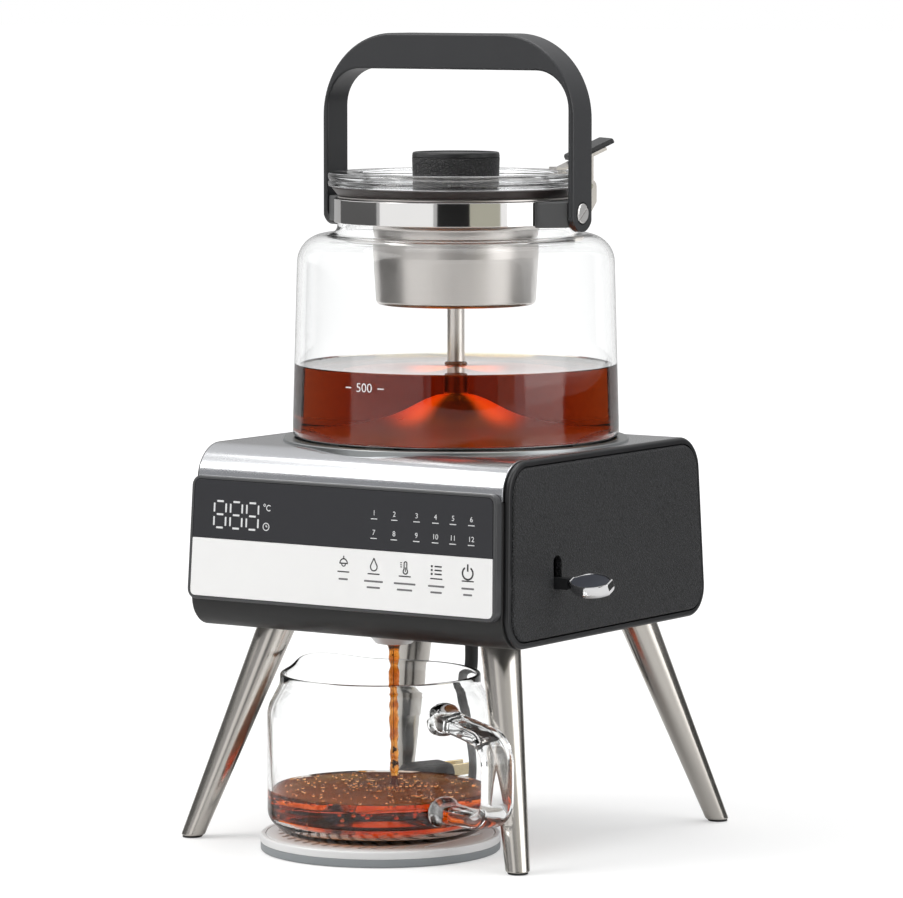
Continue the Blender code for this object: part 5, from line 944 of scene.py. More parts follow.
class TEA_OT_lead(bpy.types.Operator):
    """Lay the mains lead from its gland into its coil, with its plug and the tie round the coil."""

    bl_idname = "teamaker.lead"
    bl_label = "Mains lead"

    def execute(self, context):
        black = look("lead_black")
        count = round(COIL_TURNS * 48)
        loops = [coil_point(COIL_TURNS * k / count) for k in range(count + 1)]
        entry = loops[0] + Vector((0, 2 * LEAD_R, 0))
        leave = (loops[-1] - coil_point(COIL_TURNS - 1 / 360)).normalized()
        rest = high("plug").z * MM / 2 - LEAD_R
        tail = [loops[-1] + leave * 0.020 * s + Vector((0, 0, rest * h))
                for s, h in ((0.11, 0.02), (0.22, 0.06), (0.42, 0.35), (0.60, 0.75), (0.78, 1.0), (1.0, 1.0))]
        top = Vector((-0.034, 0.1335, low("cord_gland").z * MM - 0.0003))
        route = smooth_route([top, *LEAD_ROUTE, entry + Vector((0, 0.0003, 0))], 4) + [entry]
        points = route + loops + tail
        curve = bpy.data.curves.new("mains_lead", "CURVE")
        curve.dimensions = "3D"
        curve.bevel_depth = LEAD_R
        curve.bevel_resolution = 5
        curve.use_fill_caps = True
        line = curve.splines.new("POLY")
        line.points.add(len(points) - 1)
        for spot, place in zip(line.points, points):
            spot.co = (*place, 1)
        line.use_smooth = True
        curve.materials.append(black)
        lead = bpy.data.objects.new("mains_lead", curve)
        context.collection.objects.link(lead)
        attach(lead, "base")
        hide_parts("cord", "cord_coil")
        length = sum((b - a).length for a, b in zip(points, points[1:]))
        plug = self.plug(tail[-1] / MM, leave)
        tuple(points[0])
        return {"FINISHED"}

    def plug(self, end, leave):
        """The moulded plug on the lead's end, its pins, and the tie round the coil."""
        turn = Matrix.Translation(Vector((end.x, end.y, 8.25)) + leave * 0.3)
        turn = turn @ Matrix.Rotation(math.atan2(leave.y, leave.x), 4, "Z")
        sections = ((0, 4.6, 4.6), (0.6, 4.9, 4.9), (4.6, 5.0, 4.9), (5.0, 4.4, 4.4), (5.8, 4.4, 4.4), (6.2, 5.5, 5.3),
                    (8, 6.4, 5.7), (10, 8.3, 6.3), (12, 10.4, 7.2), (14.5, 11.6, 8.0), (18, 12, 8.2), (35.6, 12, 8.2),
                    (37.2, 11.6, 7.8), (38, 10.6, 7.0))
        rows = [([(-y, -z, min(z, 5) * 0.98), (-y, z, min(z, 5) * 0.98), (y, z, min(z, 5) * 0.98),
                  (y, -z, min(z, 5) * 0.98)], x) for x, y, z in sections]
        body = placed(stacked(rows), Matrix(((0, 0, 1, 0), (1, 0, 0, 0), (0, 1, 0, 0), (0, 0, 0, 1))))
        plug = piece("plug_body", placed(body, turn), look("lead_black"), "base", ["plug"], "lead_black")
        pins = [box((36.5, side * 6.35 - 0.75, 3.93 - 3.15), (54.5, side * 6.35 + 0.75, 3.93 + 3.15), 0.35)
                for side in (-1, 1)]
        pins.append(soften(rod(2.4, 36.5, 56.3, (0, -3.93), axis="X", sides=32), 0.7))
        piece("plug_pins", placed(joined(*pins), turn), look("brass"), "base")
        spot = coil_point(0.62)
        outward = (spot - COIL_MIDDLE)
        outward.z = 0
        outward.normalize()
        around = Matrix.Rotation(math.atan2(outward.y, outward.x), 4, "Z")
        strap = flat([(25.0, 0.05, 3), (46.2, 0.05, 3), (46.2, 14.9, 3), (25.0, 14.9, 3)])
        bmesh.ops.delete(strap, geom=strap.faces[:], context="FACES_ONLY")
        made = bmesh.ops.extrude_edge_only(strap, edges=strap.edges[:])["geom"]
        bmesh.ops.translate(strap, verts=[v for v in made if isinstance(v, bmesh.types.BMVert)], vec=(0, 9, 0))
        bmesh.ops.recalc_face_normals(strap, faces=strap.faces)
        bmesh.ops.solidify(strap, geom=strap.faces[:], thickness=0.6)
        moved(strap, (0, -4.5, 0))
        matrix = Matrix.Translation(COIL_MIDDLE / MM) @ around
        piece("lead_tie", placed(strap, matrix), look("rubber"), "base")
        return plug


class TEA_OT_housing(bpy.types.Operator):
    """Press the top cover, mould the lower shell, and fit the side rims and grained covers."""

    bl_idname = "teamaker.housing"
    bl_label = "Housing"

    def execute(self, context):
        cover = carve(hoop(1.6, True), rod(87.3, 190, 204, (0, KETTLE_Y), sides=144))
        piece("top_cover_pressed", drafted(cover), look("satin_silver"), "base", ["top_cover"], "satin_silver")
        holes = [rod(5.3, 103, 115, (x, y), sides=32) for _, x, y in leg_spots(66.4, 62.5)]
        holes.append(rod(7.7, 103, 115, (0, NOZZLE_Y)))
        holes.append(rod(8.3, 103, 115, (0, LAMP_Y)))
        holes.append(rod(6.3, 103, 115, (-34, 133.5), sides=32))
        shell = carve(hoop(2.6, False), joined(*holes))
        port = placed(box((-83, -4, -23.5), (83, 9, 23.5)),
                      Matrix.Translation((0, 62.5 - 93.4, 151)) @ Matrix.Rotation(-LEAN, 4, "X"))
        piece("lower_shell_moulded", drafted(carve(shell, port)), look("shell_black"), "base",
              ["lower_shell"], "shell_black")
        for name, side in (("left", -1), ("right", 1)):
            self.side(name, side)
        return {"FINISHED"}

    def side(self, name, side):
        near = HALF_HOOP + 0.3
        outer = "far" if side > 0 else "near"
        plate = slab(side_outline(1.2), *sorted((side * near, side * (SEAM + 0.8))), axis="X")
        rim = slab(side_outline(), *sorted((side * (SEAM + 0.3), side * (near + 4.9))), axis="X", rim=1.4,
                   ends=outer, segments=5)
        rim = carve(rim, plate, "UNION")
        deep = sorted((side * (near + 2.0), side * (near + 9)))
        through = sorted((side * (near - 3), side * (near + 9)))
        rim = carve(rim, slab(side_outline(2.9), *deep, axis="X"))
        rim = carve(rim, slab(side_outline(8.0), *through, axis="X"))
        piece(f"side_rim_{name}", drafted(rim), look("rim_charcoal"), "base", [f"side_trim_{name}"], "rim_black")
        ends = sorted((side * (near + 2.3), side * (near + 5.9)))
        panel = slab(side_outline(3.5), *ends, axis="X", rim=1.7, ends=outer, segments=5)
        if side > 0:
            slot = slab(oblong(7.4, 16.5, (1.5, 1.5, 3.6, 3.6), (TAP_Y, 142.25)), near - 4, near + 12, axis="X")
            panel = carve(panel, slot)
        piece(f"grained_cover_{name}", drafted(panel), look("hide_charcoal"), "base", [f"side_cover_{name}"],
              "grained_black")


class TEA_OT_panel(bpy.types.Operator):
    """Fit the control panel: frame, display window, touch plate and their prints."""

    bl_idname = "teamaker.panel"
    bl_label = "Control panel"

    def execute(self, context):
        place = panel_place()
        frame_bm = slab(oblong(182.0, 61.5, 5.0), -4.6, 0, rim=0.7, ends="near")
        frame_bm = carve(frame_bm, slab(oblong(178.6, 58.5, 3.2), -9, -2.8))
        piece("panel_surround", drafted(placed(frame_bm, place)), look("frame_grey"), "base", ["panel_frame"],
              "rim_black")
        for name, node_name, finish, slot_name, low_z, high_z, radii in (
                ("display_glass", "display_window", "window_charcoal", "window_charcoal", 0.15, 28.95,
                 (0.3, 0.3, 2.7, 2.7)),
                ("touch_sheet", "touch_plate", "touch_white", "touch_white", -28.95, -0.15,
                 (2.7, 2.7, 0.3, 0.3))):
            bm = slab(oblong(178.0, high_z - low_z, radii, (0, (low_z + high_z) / 2)), -4.7, -3.1, rim=0.12,
                      ends="near", segments=2)
            piece(name, drafted(placed(bm, place)), look(finish), "base", [node_name], slot_name)
        white = [*self.digits(), *self.numbers()]
        piece("display_marks", drafted(placed(joined(*white), place)), look("print_white"), "base", firm=False)
        piece("touch_marks", drafted(placed(joined(*self.icons()), place)), look("print_black"), "base", firm=False)
        piece("touch_labels", drafted(placed(joined(*self.labels()), place)), look("print_grey"), "base", firm=False)
        return {"FINISHED"}

    def bar(self, x, z, width, height):
        return slab(oblong(width, height, min(width, height) * 0.35, (x, z - PANEL_Z)), -4.76, -4.66)

    def digits(self):
        for cell in (-1, 0, 1):
            x = -62.9 + cell * 9.9
            for z in (-6.55, 0, 6.55):
                yield self.bar(x, 164.8 + z, 4.1, 0.95)
            for side in (-3.55, 3.55):
                for z in (-3.35, 3.35):
                    yield self.bar(x + side, 164.8 + z, 0.95, 4.5)
        yield moved(arc_band(0.55, 0.35, 0, 360, 0.1), (-45.8, -4.71, 170.8 - PANEL_Z))
        yield moved(arc_band(1.35, 0.45, 45, 315, 0.1), (-43.2, -4.71, 169.5 - PANEL_Z))
        yield moved(arc_band(1.8, 0.45, 0, 360, 0.1), (-44.5, -4.71, 160.2 - PANEL_Z))
        yield self.bar(-44.5, 160.7, 0.4, 1.1)
        yield self.bar(-44.1, 160.2, 0.9, 0.4)

    def numbers(self):
        for row, z in ((0, 170.7), (1, 161.2)):
            for column, x in enumerate((19.9, 31.8, 44.9, 55.9, 66.1, 76.7)):
                text = lettering(str(row * 6 + column + 1), 3.6, 0.1)
                yield moved(text, (x, -4.71, z - PANEL_Z))
                yield self.bar(x, z - 2.8, 3.8, 0.42)

    def labels(self):
        """Two plain lines where each symbol's words would stand."""
        for x, width in ((2.6, 5.4), (20.4, 11.0), (38.6, 12.6), (56.9, 9.4), (75.0, 7.2)):
            yield self.bar(x, 137.5, width, 0.9)
            if x > 3:
                yield self.bar(x, 134.5, width * 0.7, 0.9)

    def icons(self):
        """Plain symbols with lines under each: lamp, drop, thermometer, list and power."""
        z = 145.2
        level = z - PANEL_Z
        for x in (2.6, 20.4, 38.6, 56.9, 75.0):
            yield self.bar(x, 141.1, 7.0, 0.6)
        yield moved(arc_band(2.2, 0.6, 0, 180, 0.1), (2.6, -4.71, level))
        yield self.bar(2.6, z, 5.0, 0.6)
        yield self.bar(2.6, z + 2.9, 0.6, 1.6)
        yield moved(arc_band(1.1, 0.5, 180, 360, 0.1), (2.6, -4.71, level - 0.3))
        yield moved(arc_band(1.95, 0.6, -205, 25, 0.1), (20.4, -4.71, level - 0.6))
        for side in (-1, 1):
            line = placed(slab(oblong(0.6, 4.0, 0.15), -4.76, -4.66), Matrix.Rotation(math.radians(side * 27), 4, "Y"))
            yield moved(line, (20.4 - side * 0.85, 0, level + 1.9))
        yield moved(arc_band(1.25, 0.65, 130, 410, 0.1), (38.9, -4.71, level - 1.7))
        yield moved(arc_band(0.8, 0.6, 0, 180, 0.1), (38.9, -4.71, level + 2.2))
        for side in (-0.8, 0.8):
            yield self.bar(38.9 + side, z + 0.8, 0.6, 3.2)
        yield self.bar(38.9, z - 0.8, 0.5, 2.2)
        for k in (-1, 0, 1):
            yield self.bar(36.4, z + 1.4 + k, 1.1, 0.45)
            yield self.bar(57.9, z + 1.85 * k, 4.2, 0.7)
            yield self.bar(54.2, z + 1.85 * k, 1.1, 1.1)
        yield moved(arc_band(3.0, 0.85, 122, 418, 0.1), (74.9, -4.71, level - 0.3))
        yield self.bar(74.9, z + 2.3, 0.85, 3.6)


class TEA_OT_seat(bpy.types.Operator):
    """Set the ring that the kettle stands in, with the heater, sensor and drain cup."""

    bl_idname = "teamaker.seat"
    bl_label = "Kettle seat"

    def execute(self, context):
        top = BODY_TOP + 0.3
        ring = lathe([(56, 190), (87, 190), (87, top + 0.9, 0.7), (81, top + 0.9, 0.4), (81, 193, 0.6),
                      (56, 193, 0.4)], (0, KETTLE_Y, 0), 160)
        ring = carve(ring, rod(7.3, 186, 197, (0, KETTLE_Y - 68)))
        piece("seat_collar", ring, look("collar_grey"), "base", ["seat_ring"], "rim_black")
        heater = lathe([(8.3, 193.3), (59, 193.3, 0.4), (59, 200.2, 0.8), (8.3, 200.2, 0.3)],
                       (0, KETTLE_Y, 0), 128)
        piece("heater_disc", heater, look("heater_cast"), "base", ["heater_plate"], "heater_aluminium")
        for name, finish, slot in (
                ("display_board", "board_green", "board_green"), ("power_board", "board_green", "board_green"),
                ("heating_element", "satin_steel", "brushed_steel"), ("thermostat", "inner_white", "inner_white"),
                ("valve_cup", "inner_white", "inner_white"), ("outlet_tube", "silicone", "silicone"),
                ("valve_body", "inner_white", "inner_white"), ("leg_frame", "satin_steel", "brushed_steel"),
                ("tap_bracket", "inner_white", "inner_white"), ("valve_plunger", "inner_white", "inner_white")):
            dress(name, look(finish), slot)
        return {"FINISHED"}


class TEA_OT_spout(bpy.types.Operator):
    """Fit the spout, the lamp lens beside it and the lead's gland."""

    bl_idname = "teamaker.spout"
    bl_label = "Spout and lamp"

    def execute(self, context):
        under = BODY_LOW - 0.3
        bm = lathe([(3.6, under - 6.2, 0.3), (9, under - 6.2, 0.9), (13.5, under - 0.9, 0.3), (13.5, under),
                    (7.4, under), (7.4, 111.9), (3.6, 111.9)], (0, NOZZLE_Y, 0), 72)
        piece("spout", bm, look("spout_steel"), "base", ["nozzle"], "chrome")
        bm = lathe([(0, under - 1.0), (9.6, under - 1.0, 0.5), (9.6, under), (8, under), (8, 111.7, 0.4),
                    (0, 111.7)], (0, LAMP_Y, 0), 64)
        lens = clear_look("lamp_lens_clear", (0.98, 0.97, 0.94), 1.49, (0.9, 0.88, 0.84), roughness=0.2)
        piece("lamp_lens_moulded", bm, lens, "base", ["lamp_lens"], "lamp_clear")
        tip = low("cord_gland").z
        rings = []
        for k in range(6):
            z = tip + 1.2 + k * 2.9
            r = 4.8 + 2.4 * (z - tip) / 19.2
            rings += [(r, z), (r - 0.7, z + 0.5, 0.2), (r - 0.6, z + 1.2, 0.2), (r + 0.2, z + 1.7)]
        bm = lathe([(0, tip), (4.8, tip, 0.5), *rings, (7.2, under - 3), (9.5, under - 3, 0.6), (9.5, under),
                    (6, under), (6, 113.1), (0, 113.1)], (-34, 133.5, 0), 48)
        piece("lead_gland", bm, look("lead_black"), "base", ["cord_gland"], "lead_black")
        return {"FINISHED"}


class TEA_OT_tap(bpy.types.Operator):
    """Shape the side tap: chrome paddle with its dark inlay on the black stem."""

    bl_idname = "teamaker.tap"
    bl_label = "Side tap"

    def execute(self, context):
        start, tip = 102.5, 125.4
        top = TAP_Z + 2.8

        def leaf(inset):
            """The paddle's outline, moved inwards."""
            half = ((start + inset, 2.2 - inset * 0.4, 0.8), (start + 5.5, 6.4 - inset, 11),
                    (start + 11.5, 7.8 - inset, 11), (start + 18.4, 6.1 - inset, 9), (tip - inset, 2.9 - inset * 0.6, 0.8))
            return [(x, TAP_Y - y, r) for x, y, r in half] + [(x, TAP_Y + y, r) for x, y, r in half[::-1]]

        axle = Vector((0, TAP_Y, TAP_Z))
        tilt = Matrix.Translation(axle) @ Matrix.Rotation(math.radians(25), 4, "X") @ Matrix.Translation(-axle)
        levels = ((2.2, top - 6.8), (1.0, top - 6.3), (0.25, top - 5.2), (0, top - 3.8), (0, top - 0.8),
                  (0.15, top - 0.3), (0.5, top), (0.95, top), (1.2, top - 0.3), (1.3, top - 1.2))
        paddle = stacked([(leaf(inset), level) for inset, level in levels])
        piece("tap_paddle_cast", placed(paddle, tilt), look("chrome"), "tap", ["tap_paddle"], "chrome")
        inlay = stacked([(leaf(1.35), top - 1.3), (leaf(1.35), top - 0.45), (leaf(1.5), top - 0.35)])
        piece("tap_inlay", placed(inlay, tilt), look("tap_slate"), "tap")
        dress("tap_stem", look("rim_charcoal"), "rim_black")
        return {"FINISHED"}


class TEA_OT_legs(bpy.types.Operator):
    """Turn the four splayed legs and their rubber tips."""

    bl_idname = "teamaker.legs"
    bl_label = "Legs"

    def execute(self, context):
        feet = {name: (x, y) for name, x, y in leg_spots(97.4, 94.3)}
        height = BODY_LOW
        for name, x, y in leg_spots(66.4, 62.5):
            fx, fy = feet[name]
            lean = Matrix(((1, 0, (x - fx) / height, fx), (0, 1, (y - fy) / height, fy), (0, 0, 1, 0), (0, 0, 0, 1)))
            bm = lathe([(0, 1.0), (5.9, 1.0, 0.9), (10, height - 0.3, 0.2), (0, height - 0.3)], sides=64)
            leg = piece(f"leg_turned_{name}", placed(bm, lean), look("leg_steel"), "base", [f"leg_{name}"],
                        "leg_metal")
            stud = rod(5, height - 0.4, 117.1, (x, y), sides=32)
            bm = bmesh.new()
            bm.from_mesh(leg.data)
            bmesh.ops.scale(stud, verts=stud.verts, vec=(MM, MM, MM))
            joint = joined(bm, stud)
            joint.to_mesh(leg.data)
            joint.free()
            bm = lathe([(0, 0), (5.0, 0, 0.4), (5.0, 3.0, 0.3), (0, 3.0)], sides=48)
            piece(f"leg_tip_{name}", placed(bm, lean), look("rubber"), "base", [f"foot_tip_{name}"], "rubber")
        return {"FINISHED"}


class TEA_OT_kettle(bpy.types.Operator):
    """Blow the kettle's glass and fit its base, drain, neck band, bosses, screws and mark."""

    bl_idname = "teamaker.kettle"
    bl_label = "Kettle"

    def execute(self, context):
        at = (0, KETTLE_Y, KETTLE_Z)
        glass = lathe([(82, 0.5, 0.9), (82, 5.8), (79.3, 101.5, 14.5), (59.5, 101.5, 4.0), (59.5, 119.3, 1.0),
                       (57.2, 119.3, 1.0), (57.2, 99.2, 5.5), (76.9, 99.2, 12), (79.7, 5.8), (79.7, 0.5, 0.4)],
                      at, 192)
        piece("kettle_blown", glass, blown_look(), "kettle", ["kettle_glass"], "glass", firm=False)
        base = lathe([(0, 0), (80.5, 0, 0.2), (80.5, 0.45), (79.3, 0.9, 0.2), (0, 0.9)], at, 160)
        base = carve(base, rod(5, KETTLE_Z - 4, KETTLE_Z + 4, (0, KETTLE_Y - 68)))
        piece("kettle_pan", base, look("collar_grey"), "kettle", ["kettle_base"], "polished_steel")
        drain = lathe([(0, -5.9), (2, -5.9, 0.3), (2, -1.4), (3.6, -1.4), (3.6, 0), (2, 0), (2, 0.9), (6.3, 0.9),
                       (6.3, 1.3, 0.2), (4.6, 1.7, 0.3), (0, 1.7)], (0, KETTLE_Y - 68, KETTLE_Z), 48)
        piece("drain_cone", drain, look("collar_grey"), "kettle", ["drain_valve"], "brushed_steel")
        band = lathe([(59.8, 107.2), (61.1, 107.2, 0.4), (61.1, 119.2, 0.4), (59.8, 119.2)], at, 192)
        piece("neck_collar", band, look("polished_steel"), "kettle", ["neck_band"], "polished_steel")
        for name, side in (("left", -1), ("right", 1)):
            self.boss(name, side)
        dress("lid_hinge", look("satin_steel"), "brushed_steel")
        dress("hinge_pin", look("polished_steel"), "brushed_steel")
        self.mark()
        return {"FINISHED"}

    def boss(self, name, side):
        spread = math.radians(17)
        clear_r = 61.4
        wide = clear_r * math.sin(spread)
        near = clear_r * math.cos(spread)
        points = [(side * x, y + KETTLE_Y, r) for x, y, r in (
            (near - 3, -wide, 0), (near + 2.2, -wide - 0.4, 2.0), (71.5, -8.5, 0.6), (71.5, 8.5, 0.6),
            (near + 2.2, wide + 0.4, 2.0), (near - 3, wide, 0))]
        bm = slab(points, KETTLE_Z + 106.4, KETTLE_Z + 119.2, axis="Z", rim=0.9)
        bm = carve(bm, rod(clear_r, KETTLE_Z + 95, KETTLE_Z + 130, (0, KETTLE_Y), sides=160))
        ends = sorted((side * 64.0, side * 76.0))
        bm = carve(bm, rod(2.6, *ends, (KETTLE_Y, PIVOT_Z), axis="X", sides=24))
        piece(f"handle_boss_{name}", bm, look("boss_grey"), "kettle", [f"pivot_boss_{name}"], "boss_grey")
        head = lathe([(0, 64.3), (2.3, 64.3), (2.3, 74.1), (5, 74.1), (5, 75.3, 0.5), (4.4, 75.7, 0.5), (0, 75.7)],
                     sides=48)
        slot = placed(box((-8, -0.5, 74.9), (8, 0.5, 78)), Matrix.Rotation(math.radians(-52), 4, "Z"))
        bm = placed(carve(head, slot), Matrix.Rotation(side * math.pi / 2, 4, "Y"))
        piece(f"handle_screw_{name}", moved(bm, (0, KETTLE_Y, PIVOT_Z)), look("polished_steel"), "kettle",
              [f"pivot_screw_{name}"], "brushed_steel")

    def mark(self):
        """The fill mark printed on the front of the glass."""
        parts = [lettering("500", 6.4, 0.1)]
        for side in (-1, 1):
            parts.append(moved(slab(oblong(3.6, 0.6, 0.1), -0.05, 0.05), (side * 9.6, 0, 0)))
        bm = joined(*parts)
        bmesh.ops.subdivide_edges(bm, edges=[e for e in bm.edges if e.calc_length() > 1.5], cuts=3)
        bmesh.ops.triangulate(bm, faces=bm.faces)
        level = 229.4
        radius = 82 - 2.7 * (level - KETTLE_Z - 5.8) / 95.7 + 0.12
        for vert in bm.verts:
            turn = vert.co.x / radius
            reach = radius - vert.co.y
            vert.co = (reach * math.sin(turn), KETTLE_Y - reach * math.cos(turn), vert.co.z + level)
        piece("fill_mark", tidy(bm), look("print_white"), "kettle", firm=False)


class TEA_OT_handle(bpy.types.Operator):
    """Mould the bail handle."""

    bl_idname = "teamaker.handle"
    bl_label = "Bail handle"

    def execute(self, context):
        top = high("handle").z
        under = top - 18
        pivot = PIVOT_Z
        outline = [(-75, pivot - 18), (-71.8, pivot - 18), (-71.8, under, 19), (71.8, under, 19),
                   (71.8, pivot - 18), (75, pivot - 18), (75, top, 42), (-75, top, 42)]
        bail = slab(outline, KETTLE_Y - 9.25, KETTLE_Y + 9.25, rim=1.3, segments=4)
        steps = range(180, 361, 9)
        side = [(KETTLE_Y + 9.25 * math.cos(math.radians(t)), pivot + 9.25 * math.sin(math.radians(t))) for t in steps]
        side += [(KETTLE_Y + 14, pivot), (KETTLE_Y + 14, top + 6), (KETTLE_Y - 14, top + 6), (KETTLE_Y - 14, pivot)]
        bail = carve(bail, slab(side, -80, 80, axis="X"), "INTERSECT")
        for sign in (-1, 1):
            ends = sorted((sign * 68, sign * 80))
            bail = carve(bail, rod(2.6, *ends, (KETTLE_Y, pivot), axis="X", sides=32))
            ends = sorted((sign * 73.8, sign * 80))
            bail = carve(bail, rod(5.6, *ends, (KETTLE_Y, pivot), axis="X", sides=48))
        piece("bail_handle", bail, look("handle_charcoal"), "handle", ["handle"], "handle_charcoal")
        return {"FINISHED"}


class TEA_OT_brewer(bpy.types.Operator):
    """Spin the tea basket and the percolator stem."""

    bl_idname = "teamaker.brewer"
    bl_label = "Basket and stem"

    def execute(self, context):
        at = (0, KETTLE_Y, KETTLE_Z)
        rim = 119.6
        basket = lathe([(4.7, 66), (40, 66, 2.4), (41.5, 90.5, 0.8), (41.5, 105.0, 3.0), (56.2, 112.0, 2.0),
                        (56.2, rim, 0.3), (59.2, rim), (59.2, rim + 0.8, 0.3), (55.4, rim + 0.8, 0.4),
                        (55.4, 112.4, 1.5), (40.7, 105.4, 2.5), (40.7, 90.5, 0.6), (39.2, 68, 2),
                        (38.0, 66.8, 0.5), (4.7, 66.8)], at, 144)
        piece("basket_spun", basket, look("basket_steel"), "kettle", ["basket"], "brushed_steel", crease=45)
        foot = 2.3
        top = foot + 19.5
        stem = lathe([(58, 1.0), (49, foot + 1.4, 60), (35.3, foot + 4.8, 60), (22.8, foot + 9.4, 40),
                      (11.8, foot + 16.9, 8), (7.2, foot + 19.2, 3), (4.4, top + 0.2, 1), (4.4, 104, 1),
                      (7.5, 104.75, 0.3), (7.5, 105.5, 0.3), (3.6, 105.5, 0.3), (3.6, top - 0.9, 1),
                      (6.5, foot + 18.2, 3), (11.0, foot + 15.9, 8), (21.9, foot + 8.4, 40), (34.4, foot + 3.8, 60),
                      (48, foot + 0.45, 60), (56, 1.0)], at, 144)
        # The stem's bell carries a painted orange glow in its emission.
        piece("brew_stem_spun", stem, bell_painted_glow_look(), "kettle", ["brew_stem"], "polished_steel", crease=50)
        level = context.scene.tea_sizes.kettle_fill / MM
        ring = lathe([(4.3, level + 1.2), (5.9, level + 1.2, 0.3), (5.5, level + 2.9, 0.4), (4.3, level + 3.4)], at, 64)
        piece("stem_meniscus", ring, look("meniscus_brown"), "kettle")
        return {"FINISHED"}


class TEA_OT_lid(bpy.types.Operator):
    """Press the glass lid and fit its seal, knob and thumb lever."""

    bl_idname = "teamaker.lid"
    bl_label = "Lid"

    def execute(self, context):
        at = (0, KETTLE_Y, LID_Z)
        seal = lathe([(53.5, 0, 0.4), (59.2, 0, 0.5), (62.5, 4.2, 0.5), (53.5, 4.2, 0.4)], at, 144)
        piece("lid_gasket", seal, look("seal_rubber"), "lid", ["lid_seal"], "rubber")
        base = 4.5
        lid = lathe([(3.4, base - 2.4), (51, base - 2.4, 0.8), (51, base, 0.3), (64, base, 0.9),
                     (64, base + 2.3, 0.8), (63.2, base + 3.2, 0.5), (64, base + 3.9, 0.8), (64, base + 7, 1.3),
                     (51.2, base + 7, 1.6), (50, base + 0.4, 1.0), (3.4, base + 0.4)], at, 192)
        glass = clear_look("lid_glass", (0.93, 0.94, 0.95), 1.49, (0.85, 0.86, 0.87))
        piece("lid_pressed", lid, glass, "lid", ["lid_glass"], "glass", firm=False)
        foot = base + 0.7
        rise = foot + 16.4
        knob = lathe([(0, foot + 6), (3.3, foot + 6), (3.3, foot), (21.6, foot, 0.5), (22, rise - 2.6, 0.3),
                      (0, rise - 2.6)], at, 128)
        piece("lid_knob", knob, look("knob_charcoal"), "lid", ["knob"], "grained_black")
        cap = lathe([(0, rise - 2.5), (22, rise - 2.5, 0.2), (21.7, rise, 0.9), (19.9, rise, 0.4),
                     (19.5, rise - 0.7, 0.3), (0, rise - 0.7)], at, 128)
        piece("knob_cap", cap, look("rim_charcoal"), "lid", ["knob"], "grained_black")
        dress("knob_screw", look("satin_steel"), "brushed_steel")
        dress("thumb_strip", look("satin_steel"), "brushed_steel")
        lift = math.tan(math.radians(24))
        over = LID_Z + base + 7 + 0.3 - HINGE_Z
        rise_way = Vector((math.cos(math.radians(24)), math.sin(math.radians(24))))
        level = Vector((-rise_way.y, rise_way.x))
        start = Vector((62.0, over + 6.0 * lift)) + level * 2.1
        length = 20.5 / rise_way.x
        points = [start, start + rise_way * length, start + rise_way * length + level * 3.0, start + level * 3.0]
        points = [(p.x, p.y, r) for p, r in zip(points, (0.4, 0.6, 1.4, 1.4))]
        paddle = slab(points, -9, 9, rim=0.8)
        turn = Matrix.Translation((0, KETTLE_Y, HINGE_Z)) @ Matrix.Rotation(HINGE_TURN, 4, "Z")
        piece("thumb_tab", placed(paddle, turn), look("handle_charcoal"), "lid", ["thumb_paddle"],
              "handle_charcoal")
        return {"FINISHED"}


class TEA_OT_tray(bpy.types.Operator):
    """Mould the drip tray and its grille."""

    bl_idname = "teamaker.tray"
    bl_label = "Drip tray"

    def execute(self, context):
        tray = lathe([(0, 0), (59.48, 0, 0.8), (59.48, 4.1, 0.3), (54.3, 4.1), (54.3, 1.6, 0.6), (0, 1.6)], sides=144)
        piece("tray_moulded", tray, look("tray_grey"), "tray", ["tray"], "tray_grey")
        rim = lathe([(54.3, 4.1), (59.48, 4.1, 0.3), (59.48, 8, 0.9), (56.9, 8, 0.3), (56.9, 5.3), (54.3, 5.3, 0.3)],
                    sides=144)
        piece("tray_rim", rim, look("tray_white"), "tray")
        grille = lathe([(0, 5.6), (56.6, 5.6), (56.6, 8, 0.4), (0, 8)], sides=144)
        slots = []
        for i in range(15):
            x = (i - 7) * 6.25
            half = math.sqrt(50.5 ** 2 - x * x)
            slots.append(slab(oblong(2.4, 2 * half, 0.8, (x, 0)), 3, 11, axis="Z"))
        piece("tray_grille_moulded", carve(grille, joined(*slots)), look("tray_white"), "tray", ["tray_grille"],
              "tray_grey")
        return {"FINISHED"}


